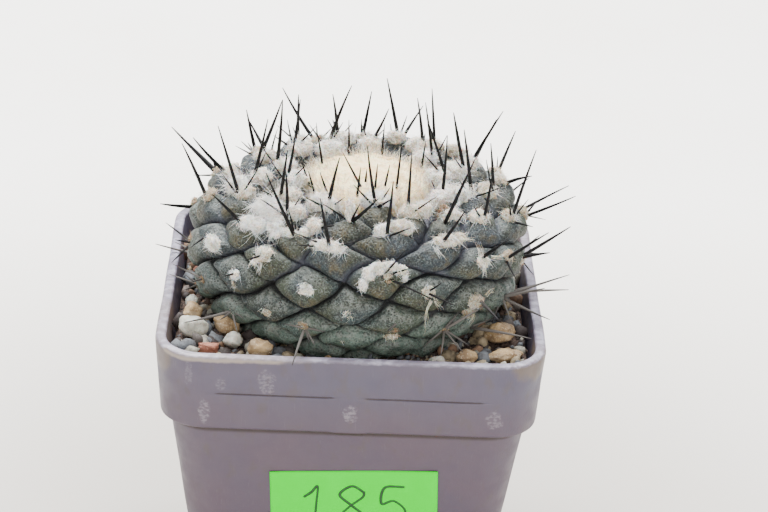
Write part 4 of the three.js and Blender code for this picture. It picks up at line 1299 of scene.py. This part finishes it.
# The tufts that are not listed follow a rule: with age, a tuft gets smaller, flatter and browner.
woolly_ages = np.arange(youngest, 50)
wool_random = np.random.default_rng(41)
wool_share = woolliness(woolly_ages)
tuft_rows = np.column_stack([
    woolly_ages,
    wool_random.uniform(-0.5, 0.5, len(woolly_ages)),
    0.1 + 1.8 * wool_share,
    2.0 + 5.0 * wool_share**0.7 * wool_random.uniform(0.75, 1.15, len(woolly_ages)),
    1.7 + 4.6 * wool_share,
    0.4 + 2.0 * wool_share,
    np.clip(0.85 - 0.95 * wool_share + wool_random.uniform(-0.15, 0.15, len(woolly_ages)), 0, 1),
])
for row in known_tufts:
    tuft_rows[woolly_ages == row[0]] = row
tuft_rows = np.concatenate([tuft_rows, loose_wool])
tuft_ages = tuft_rows[:, 0].astype(int)
tuft_size = tuft_rows[:, 3:6] * [0.5, 0.5, 1] * MM
tuft_tone = tuft_rows[:, 6]
# Pure white loose wool near the crown is blown out like cotton and gets longer hairs.
cotton = (tuft_tone == 0) & (tuft_ages < -3) & (np.arange(len(tuft_rows)) >= len(woolly_ages))
tuft_place, tuft_basis = areoles(tuft_ages, -0.25 * MM)
tuft_place += turned(tuft_rows[:, 1:3] * MM, tuft_basis[:, :2])
print("tufts:", len(tuft_rows))

# %% [markdown]
# Plant wool is white when new and takes up dust and tannin, so it goes cream, then brown. Light enters it and
# comes out softened, which a little scattering gives. A plain white would look like snow, so painted shade
# darkens the spaces between its hairs. The real spaces are about 0.02 mm wide, and the shade is drawn at
# 0.3 mm because it would vanish.

# %% Plant wool as a material


def plant_wool(name, gap_shade):
    """Wool from white through cream to brown by each point's tone, with painted shade between its hairs of a
    given strength.
    """
    paint = Paint(name, "#fffdfa")
    node, patches = paint.node, paint.patches
    tone = node("Attribute", attribute_name="tone", out="Fac")
    tone = node("plus", tone, patches(1.2, 4, 0.3, 0.7, -0.12, 0.2))
    paint.coat("#e6dac3", node("ease", tone, 0, 0.35))
    paint.coat("#b3a186", node("ease", tone, 0.3, 0.6))
    paint.coat("#6f5638", node("ease", tone, 0.6, 1))
    # Painted shade in the spaces between the hairs.
    paint.coat("#6b6459", patches(0.3, 3, 0.54, 0.4, 0, gap_shade))
    soft = {"Sheen_Weight": 0.15, "Subsurface_Weight": 0.35, "Subsurface_Scale": 0.8 * MM}
    return paint.finished((patches(0.25, 5), 0.3), Roughness=0.95, **soft)


# The felted bodies get much more painted shade than the single hairs.
matted_wool_painted_shade, wool = plant_wool("matted_wool_painted_shade", 0.65), plant_wool("wool_hairs", 0.12)

# %% Make the felted bodies of the tufts
tuft_ball, tuft_ball_faces = ball(2)
tuft_blocks = np.sign(tuft_ball) * np.abs(tuft_ball) ** 0.75
tuft_balls = tuft_blocks[None] * tuft_size[:, None]
ripple_place = tuft_balls / MM + np.arange(len(tuft_rows))[:, None, None] * 7.3
fluff = relief(ripple_place, 31, (0.07, 2.4), (0.05, 0.9), (0.05, 0.5))
tuft_points = tuft_place[:, None] + turned(tuft_balls * (0.68 + fluff)[..., None], tuft_basis)
tuft_faces = (np.arange(len(tuft_rows))[:, None, None] * len(tuft_ball) + tuft_ball_faces).reshape(-1, 3)
# The bodies take a browner tone than their tufts' own, a painted shade for the depth beneath their hairs.
tuft_tones = {"tone": np.repeat(tuft_tone + 0.12, len(tuft_ball))}
add_piece("areole_felt", tuft_points.reshape(-1, 3), tuft_faces, matted_wool_painted_shade, "wool", ["cactus"], tuft_tones)

# %% [markdown]
# The hairs of a tuft lie close to it, curl and cling together. Straight bristles would make it a brush, so
# each hair leaves sideways, bends back and sways. How many a tuft gets follows from its size.

# %% Cover the tufts with curly hairs


def curly_coat(name, chosen, density, longest, out, seed):
    """Hairs rooted all over some tufts, which lie close to them, curl at random and droop a little.

    A hair starts at a random way s from its tuft's middle. It leaves along a random way across the tuft, plus
    up to `out` times the tuft's normal there, and bends back towards the tuft.
    """
    random = np.random.default_rng(seed)
    cover = (tuft_rows[:, 3] * tuft_rows[:, 4] + 1.2 * tuft_rows[:, 3] * tuft_rows[:, 5]) * density
    own = np.repeat(np.nonzero(chosen)[0], cover[chosen].astype(int))
    total = len(own)
    start = random.normal(size=(total, 3))
    start[:, 2] = np.abs(start[:, 2]) - 0.15
    start = unit(start)
    size = tuft_size[own]
    normal = unit(start / size)
    lean = unit(np.cross(normal, random.normal(size=(total, 3))))
    lean = unit(lean + normal * random.uniform(0, out, (total, 1)))
    length = (random.uniform(0.4, 1.0, total) ** 1.3 * longest * (0.55 + 0.09 * tuft_rows[own, 3]))[:, None]
    bend = random.normal(scale=0.35, size=(total, 3)) - normal * 0.45 - [0, 0.15, 0]
    basis = tuft_basis[own]
    roots = tuft_place[own] + turned(start * size * random.uniform(0.6, 0.82, (total, 1)), basis)
    sway = random.normal(scale=0.2, size=(total, 3)) * length
    thick, thin = random.random(total) < 0.3, (0.028, 0.045)
    radii = np.where(thick, random.uniform(0.05, 0.08, total), random.uniform(*thin, total)) * MM
    # Hairs are a little paler than their tuft's tone, a painted light against the painted shade of its body.
    tones = np.clip(tuft_tone[own] - 0.12 + random.normal(scale=0.14, size=total), 0, 1)
    aims, bends = turned(lean, basis) * length, turned(bend, basis) * length
    add_strands(name, roots, aims, bends, radii, 4, 3, (wool, "wool", ["cactus"]), {"tone": tones}, sway=sway)


curly_coat("crown_ring_hairs", (tuft_ages < -18) & ~cotton, 6.0, 2.1 * MM, 0.8, 51)
curly_coat("shoulder_hairs", (tuft_ages >= -18) & (tuft_ages < 8) & ~cotton, 9.0, 1.8 * MM, 0.7, 52)
curly_coat("side_hairs", (tuft_ages >= 8) & ~cotton, 16.0, 1.35 * MM, 0.5, 53)
curly_coat("blown_cotton", cotton, 9.0, 3.4 * MM, 0.6, 54)

# %% [markdown]
# Some hairs work loose and hang from the tufts in wisps. These catch the light against the dark skin, so they
# are set where the plant has them, each as seven fine hairs that share one curl.

# %% Hang loose strands from some tufts

# Each strand: the age of its tubercle, where it starts and how far it runs, both in millimetres to the right,
# uphill and outwards, and its tone.
loose_strands = [
    (-5, (-2.4, -1.2, 1.2), (0.3, -2.8, -0.2), 0.1),
    (-5, (3.0, -0.6, 1.2), (1.8, -1.2, 0.6), 0.3),
    (4, (-1.6, 0.2, 1.2), (-0.6, 3.2, 1.6), 0.15),
    (4, (-1.2, -1.2, 0.8), (-0.6, -1.8, 0.2), 0.2),
    (4, (1.2, -0.2, 1.0), (2.8, -0.8, 0.6), 0.3),
    (18, (0.4, -1.0, 0.8), (-1.4, -4.6, 0.6), 0.4),
    (18, (1.0, -0.6, 0.8), (1.0, -2.6, 0.4), 0.4),
    (-19, (2.2, 0.4, 1.8), (0.6, -4.2, -0.4), 0.1),
    (-19, (3.6, 1.4, 1.8), (2.2, 1.6, 1.0), 0.1),
    (-20, (0.8, 0.6, 2.0), (-1.4, 2.4, 3.0), 0.1),
    (27, (-2.0, -2.0, 1.0), (-1.6, -1.8, 0.2), 0.5),
    (27, (0.6, 0.8, 1.2), (0.8, 1.8, 0.8), 0.5),
    (5, (-1.0, -1.6, 0.6), (-0.6, -1.4, -0.2), 0.15),
    (5, (0.8, -1.6, 0.6), (0.3, -1.6, -0.2), 0.15),
    (-33, (3.0, 0.0, 2.0), (1.6, -3.6, 0.0), 0.05),
    (-28, (1.0, -1.4, 1.4), (1.4, -1.0, 0.8), 0.5),
]
strand_random = np.random.default_rng(55)
strand_copies = 7
strand_ages = np.repeat([row[0] for row in loose_strands], strand_copies)
strand_starts = np.repeat([row[1] for row in loose_strands], strand_copies, axis=0) * MM
strand_runs = np.repeat([row[2] for row in loose_strands], strand_copies, axis=0) * MM
strand_tones = np.repeat([row[3] for row in loose_strands], strand_copies)
strand_place, strand_basis = areoles(strand_ages)
strand_length = np.linalg.norm(strand_runs, axis=1, keepdims=True)
strand_starts += strand_random.normal(scale=0.16 * MM, size=strand_starts.shape)
strand_runs += strand_random.normal(scale=0.08, size=strand_runs.shape) * strand_length
strand_curl = np.repeat(strand_random.normal(scale=0.1, size=(len(loose_strands), 3)), strand_copies, axis=0)
strand_curl = (strand_curl + strand_random.normal(scale=0.03, size=strand_runs.shape)) * strand_length
strand_roots = strand_place + turned(strand_starts, strand_basis)
strand_aims = turned(strand_runs, strand_basis)
strand_bends = strand_random.normal(scale=0.08, size=strand_runs.shape) * strand_length
strand_radii = strand_random.uniform(0.025, 0.04, len(strand_ages)) * MM
strand_lines = strand_roots, strand_aims, strand_bends, strand_radii
strand_values = {"tone": strand_tones}
add_strands("loose_strands", *strand_lines, 9, 4, (wool, "wool", []), strand_values, sway=strand_curl)

# %% [markdown]
# The crown is filled by a disc of cream felt, where next year's tubercles wait under packed wool. A ball
# would stand too high: it is a flat cushion with low lumps, so its rings follow a superellipse. Its hairs are
# too short and dense to tell apart except at its edge, so bump alone gives most of its nap.

# %% Make the felt of the crown
felt_radius = 12.3 * MM
felt_top = 87 * MM
felt_middle = np.array([plant_x + crown_lean[0], crown_lean[1]])
felt_rings, felt_sides = 60, 120
felt_turn = np.linspace(0, 2 * np.pi, felt_sides, endpoint=False)
felt_slope = np.linspace(90, 0, felt_rings + 1)[:-1, None] * np.pi / 180
felt_low = plant_waist + crown_rise - 5.1 * MM
felt_reach = felt_radius * np.sin(felt_slope) ** 0.8 * np.ones(felt_sides)
felt_height = felt_low + (felt_top - felt_low) * np.cos(felt_slope) ** 0.5
felt = round_rings(felt_reach, felt_turn, felt_height, felt_middle)
felt_lumps = relief(felt, 71, (0.22, 5 * MM), (0.12, 1.8 * MM), (0.06, 0.7 * MM))
felt[..., 2] += felt_lumps * MM * np.cos(felt_slope) ** 0.25


def crown_felt():
    """Dense cream wool, a little uneven in tone, with a nap too fine to see as hairs."""
    paint = Paint("crown_felt", "#efd197")
    paint.coat("#fae7b6", paint.patches(4, 5, 0.35, 0.65))
    soft = {"Sheen_Weight": 0.3, "Subsurface_Weight": 0.3, "Subsurface_Scale": 1.5 * MM}
    return paint.finished((paint.patches(0.3, 6), 0.25), Roughness=0.95, **soft)


add_piece("crown_felt", *tube(felt), crown_felt(), "wool", ["crown_wool"])

# %% [markdown]
# Seen against the light, the felt has a short fuzz. A few thousand hairs, most of them towards its edge, are
# enough to break its outline.

# %% Give the felt its nap
nap_random = np.random.default_rng(74)
nap_count = 3600
nap_turn = nap_random.uniform(0, 2 * np.pi, nap_count)
nap_share = nap_random.random(nap_count) ** 0.42
nap_ring = np.clip(((1 - nap_share) * felt_rings * 0.8).astype(int) + 6, 0, felt_rings - 1)
nap_roots = felt[nap_ring, (nap_turn / (2 * np.pi) * felt_sides).astype(int)]
nap_way = np.column_stack([spokes(nap_turn) * 0.5, np.full(nap_count, 0.8)])
nap_way += nap_random.normal(scale=0.5, size=(nap_count, 3))
nap_length = nap_random.uniform(0.5, 1.3, nap_count)[:, None] * MM
nap_bends = nap_random.normal(scale=0.4, size=(nap_count, 3)) * nap_length
nap_lines = nap_roots, nap_way * nap_length, nap_bends, nap_random.uniform(0.035, 0.055, nap_count) * MM
nap_tones = {"tone": nap_random.uniform(0.15, 0.4, nap_count)}
add_strands("crown_nap", *nap_lines, 3, 3, (wool, "wool", ["crown_wool"]), nap_tones)

# %% [markdown]
# ## Spines
# A young areole has one strong black central spine and a few weak ones, and old ones keep a star of grey
# stubs. A rule alone would give a plant of the kind but not this one. So the spines at the front are listed
# one by one as they stand, each as the way from its areole to its tip: to the right, uphill and outwards. The
# rest follow a seeded rule, as on the solid.

# %% Set the spines
front_spines = {
    -23: [(-5, -0.2, 3.3), (2, -1.9, 5.3), (5.1, -1, 6.1), (-6.5, -2.1, -1)],
    -20: [(-6.2, 0.4, 12.6)],
    -19: [(4.4, 1, 12.2)],
    -14: [(0.2, 1, 12), (3.7, -2.4, 4.1)],
    -11: [(0.3, 5.7, 7)],
    -9: [(-3.3, 1.2, 13.6), (-0.1, 0.5, 6)],
    -8: [(6.4, -0.4, 10.1)],
    -6: [(-6.3, -0.8, 4.8)],
    -5: [(1.6, 0, 8.9)],
    -4: [(-1, -1.1, 8.9)],
    0: [(-0.9, 1.5, 11.9), (-6.4, 0.8, 1.6), (-5.8, -1.4, 1.1), (4.6, 0.9, 1.4)],
    4: [(-0.1, 2.4, 7.6)],
    5: [(-0.1, -2.2, 4.5)],
    9: [(3.6, 4.4, 2.6), (4.9, 1.3, 0.8), (9.3, -4.7, 1.5)],
    10: [(4.5, -1.6, 4.4)],
    15: [(7.1, 2.5, 5)],
    18: [(1.4, 2.7, 2.6), (2.3, -0.2, 6.6)],
    19: [(1.2, 0.9, 3.7)],
    22: [(-1.2, 8.1, 8.8), (-4.1, 3.7, 5.8)],
    27: [(-2.8, -0.3, 7.5)],
    32: [(-2.4, -0.4, 1.8)],
    36: [(4, 8.1, 9.3), (-0.1, 5.7, 6.9), (-2.9, 1.9, 10.4), (-5.5, -2.3, 1), (-4.6, -0.7, 3.8)],
    37: [(0.8, -0.4, 9.6), (-2.9, 2.3, 2.2), (4.4, 1.6, 1.7), (2.9, -0.5, 3.2), (2, 0.1, 3.4)],
    41: [(4.6, 7.3, 2.5), (-4.4, 0.4, 5.4), (0, 0.4, 6), (-5, -1.5, 1.2), (2.1, 0.2, 4.7), (1.2, 5.3, 0.6),
         (-0.3, 3.4, 0.8)],
    42: [(-2.4, 2.6, 8.3), (5.2, -0.4, 3), (4.8, 1.1, 0.6), (1.5, 1.4, 3.4)],
}
bare_in_front = {14, 23, 28, 46, 51, 55, 60}
# Radii in millimetres: a strong spine's while young and when worn, and a weak one's.
young_stout, worn_stout, weak = 0.36, 0.29, 0.22
spines = []
for age, ways in front_spines.items():
    for way in ways:
        stout = young_stout if age < 36 else worn_stout
        spines.append((age, *way, stout if np.linalg.norm(way) > 7 and way[2] > 2 else weak))
spine_random = np.random.default_rng(7)
for age in range(youngest, 53):
    if age in front_spines or age in bare_in_front:
        continue
    if age < 24 or spine_random.random() < 0.35:
        length = spine_random.uniform(8.5, 14)
        lean = unit(np.array([spine_random.uniform(-0.45, 0.45), spine_random.uniform(0.1, 0.7), 1]))
        spines.append((age, *(lean * length), spine_random.uniform(0.3, 0.38)))
    start = spine_random.uniform(0, 2 * np.pi)
    for k in range(spine_random.integers(1, 4)):
        turn = start + k * 2.2 + spine_random.uniform(-0.4, 0.4)
        way = np.append(spokes(turn), 0.8) * spine_random.uniform(3, 5.5)
        spines.append((age, *way, spine_random.uniform(0.18, 0.25)))
spines = np.array(spines)
spine_ages, spine_ways, spine_radii = spines[:, 0].astype(int), spines[:, 1:4] * MM, spines[:, 4] * MM
spine_sunk = 0.4 * MM
spine_root, spine_basis = areoles(spine_ages, -spine_sunk)
spine_aims = turned(spine_ways + [0, 0, spine_sunk], spine_basis)
print("spines:", len(spines))

# %% Keep every tip over the gravel and inside the solid's room
gravel_from = 27 * MM  # beyond this far from the plant's axis there is gravel or pot below a tip
lowest_tip = pot_height + 1.2 * MM
raised_tip = pot_height + 1.5 * MM
tips = spine_root + spine_aims
reach_out = np.hypot(tips[:, 0] - plant_x, tips[:, 1])
by_rule = ~np.isin(spine_ages, list(front_spines))
too_low = (tips[:, 2] < lowest_tip) & (reach_out > gravel_from) & by_rule
spine_aims[too_low, 2] += raised_tip - tips[too_low, 2]
room_low, room_high = (np.array(corner) for corner in solid_bounds)
limit = np.where(spine_aims > 0, room_high, room_low)
share = ((limit - spine_root) / np.where(np.abs(spine_aims) < 1e-6, 1e-6, spine_aims)).min(axis=1)
spine_aims *= np.clip(share, 0, 1)[:, None]
print("spines raised:", int(too_low.sum()), "shortened:", int((share < 1).sum()))

# %% [markdown]
# A spine is a leaf turned to horn: black and dense when new, then bleached grey by sun and water from the
# root up. A glossy shader would make it look like wire, so the shine is weak and broad.

# %% Make the spines


def spine_horn():
    """Hard horn, black while young and grey with age, with a faint grain drawn coarser than real."""
    paint = Paint("spine_horn", "#060607")
    weather = paint.node("Attribute", attribute_name="weather", out="Fac")
    paint.coat("#1a191b", paint.node("ease", weather, 0, 0.45))
    paint.coat("#64605c", paint.node("ease", weather, 0.4, 1))
    paint.coat("#4c4a4c", paint.patches(0.5, 5, 0.5, 0.7, 0, 0.2))
    return paint.finished((paint.patches(0.2, 3), 0.04), Roughness=0.55, Specular_IOR_Level=0.15)


horn = spine_horn()
spine_form = {"rings": 9, "sides": 8, "tip": 0.2, "taper": 2}
bend_random = np.random.default_rng(8)
spine_length = np.linalg.norm(spine_aims, axis=1)
spine_bends = bend_random.normal(scale=0.035, size=(len(spine_aims), 3)) * spine_length[:, None]
weather = np.clip((spine_ages - 8) / 30, 0, 1) + bend_random.uniform(0, 0.2, len(spine_ages))
weather = {"weather": np.clip(weather[:, None] - np.linspace(0, 0.45, spine_form["rings"]), 0, 1)}
spine_lines = spine_root, spine_aims - spine_bends, spine_bends, spine_radii
add_strands("areole_spines", *spine_lines, dress=(horn, "spine", ["cactus"]), values=weather, **spine_form)

# %% [markdown]
# The youngest spines stand in the felt of the crown, where no tubercle can be told apart. So they are listed
# round the felt one by one instead.

# %% Make the spines of the crown

# Spines that stand in the felt: degrees round it from the right, share of its radius, and the way to the tip.
crown_spines = [
    (262, 0.62, (-4.0, 2.0, 6.5)),
    (258, 0.8, (0.4, 0.5, 5.5)),
    (278, 0.66, (0.3, 0.2, 5.5)),
    (292, 0.62, (0.8, 0.5, 4.8)),
    (309, 0.66, (0.6, 0.6, 8.6)),
    (264, 0.5, (0.2, 0.2, 3.4)),
    (228, 0.9, (-1.6, 0.8, 4.0)),
    (205, 0.95, (-1.8, 1.0, 4.6)),
    (218, 1.0, (-1.4, 0.4, 4.6)),
    (20, 0.85, (0.6, 0.8, 6.0)),
    (75, 0.8, (0.2, 1.0, 6.5)),
    (110, 0.85, (-0.4, 1.2, 7.0)),
    (150, 0.8, (-1.2, 0.8, 6.0)),
]
crown_turn, crown_share = np.array([spine[:2] for spine in crown_spines]).T
crown_aims = np.array([spine[2] for spine in crown_spines]) * MM
crown_roots = spokes(np.radians(crown_turn)) * (crown_share * felt_radius)[:, None] + felt_middle
crown_roots = np.column_stack([crown_roots, felt_top - 1.6 * MM * crown_share**4 - 0.8 * MM])
crown_bends = crown_aims[:, [1, 0, 2]] * [0.06, 0.06, 0]
crown_lines = crown_roots, crown_aims, crown_bends, np.full(len(crown_spines), 0.24 * MM)
crown_weather = {"weather": np.full(len(crown_spines), 0.1)}
crown_dress = horn, "spine", ["crown_wool"]
add_strands("crown_spines", *crown_lines, dress=crown_dress, values=crown_weather, **spine_form)

# %% [markdown]
# ## The picture
# The real pot stands on a pale sheet in soft light from all round and a little more from above. A sun lamp
# would throw hard shadows, so a pale world fills the shade and two large windows shape the plant.

# %% Floor and light


def pale_sheet():
    """The pale matt sheet beneath the pot, with a painted shade that darkens it towards the pot and fades out
    22 cm away.
    """
    paint = Paint("pale_sheet", "#b8b3ab")
    far_sheet_colour = paint.node("mix", paint.patches(90, 3, 0.3, 0.7), "#f2efe8", "#f6f4f0")
    away = paint.node("VectorMath", paint.where, operation="LENGTH")
    # Painted shade: the sheet is darker near the pot.
    paint.coat(far_sheet_colour, paint.node("ease", away, 35 * MM, 220 * MM))
    return paint.finished(Roughness=0.9)


floor_mesh = bpy.data.meshes.new("sheet")
floor_mesh.from_pydata([(-3, -3, 0), (3, -3, 0), (3, 3, 0), (-3, 3, 0)], [], [(0, 1, 2, 3)])
floor_mesh.materials.append(pale_sheet())
floor = show("sheet", floor_mesh)

world = bpy.data.worlds.new("soft_room")
world.use_nodes = True
background = world.node_tree.nodes["Background"].inputs
background["Color"].default_value = linear("#f6f7fa")
background["Strength"].default_value = 0.85
bpy.context.scene.world = world


def window(name, place, aim, width, power, tint):
    """A square area light that looks from a place to an aim."""
    light = bpy.data.lights.new(name, "AREA")
    light.size, light.energy, light.color = width, power, linear(tint)[:3]
    lamp = show(name, light)
    way = Vector(aim) - Vector(place)
    lamp.matrix_world = Matrix.LocRotScale(Vector(place), way.to_track_quat("-Z", "Y"), None)
    print(name, "is", round(way.length, 2), "m away")


window("window_above", (-0.1, 0.4, 0.85), (0, 0.12, 0.03), 0.8, 44.0, "#ffffff")
window("window_front", (0.14, -0.85, 0.28), (0, 0, 0.06), 0.8, 9.0, "#fffaf4")

# %% [markdown]
# The picture was taken with a long lens from half a metre away, so it shows little perspective. The camera
# could be placed by eye, but its angles were worked out from the pot's corners: it looks down on the pot, is
# turned by less than two degrees and is held a little aslant. The columns of its matrix are its right, its
# up, its back and its place.

# %% Camera
elevation, azimuth, roll = np.radians([24.26, -1.63, 2.82])
distance = 469.9 * MM
target = np.array([5.8, 0, 69.9]) * MM
camera_back = np.append(spokes(azimuth - np.pi / 2) * np.cos(elevation), np.sin(elevation))
level = np.append(spokes(azimuth), 0)
upright = np.cross(camera_back, level)
camera_right = level * np.cos(roll) + upright * np.sin(roll)
camera_up = upright * np.cos(roll) - level * np.sin(roll)
lens = bpy.data.cameras.new("long_lens")
lens.lens = 117.6
lens.sensor_width = 36
lens.clip_start = 0.01
camera = show("camera", lens)
camera_columns = np.column_stack([camera_right, camera_up, camera_back, target + camera_back * distance])
camera.matrix_world = Matrix([*camera_columns.tolist(), [0, 0, 0, 1]])
bpy.context.scene.camera = camera
print("camera at", np.round(camera_columns[:, 3], 3))
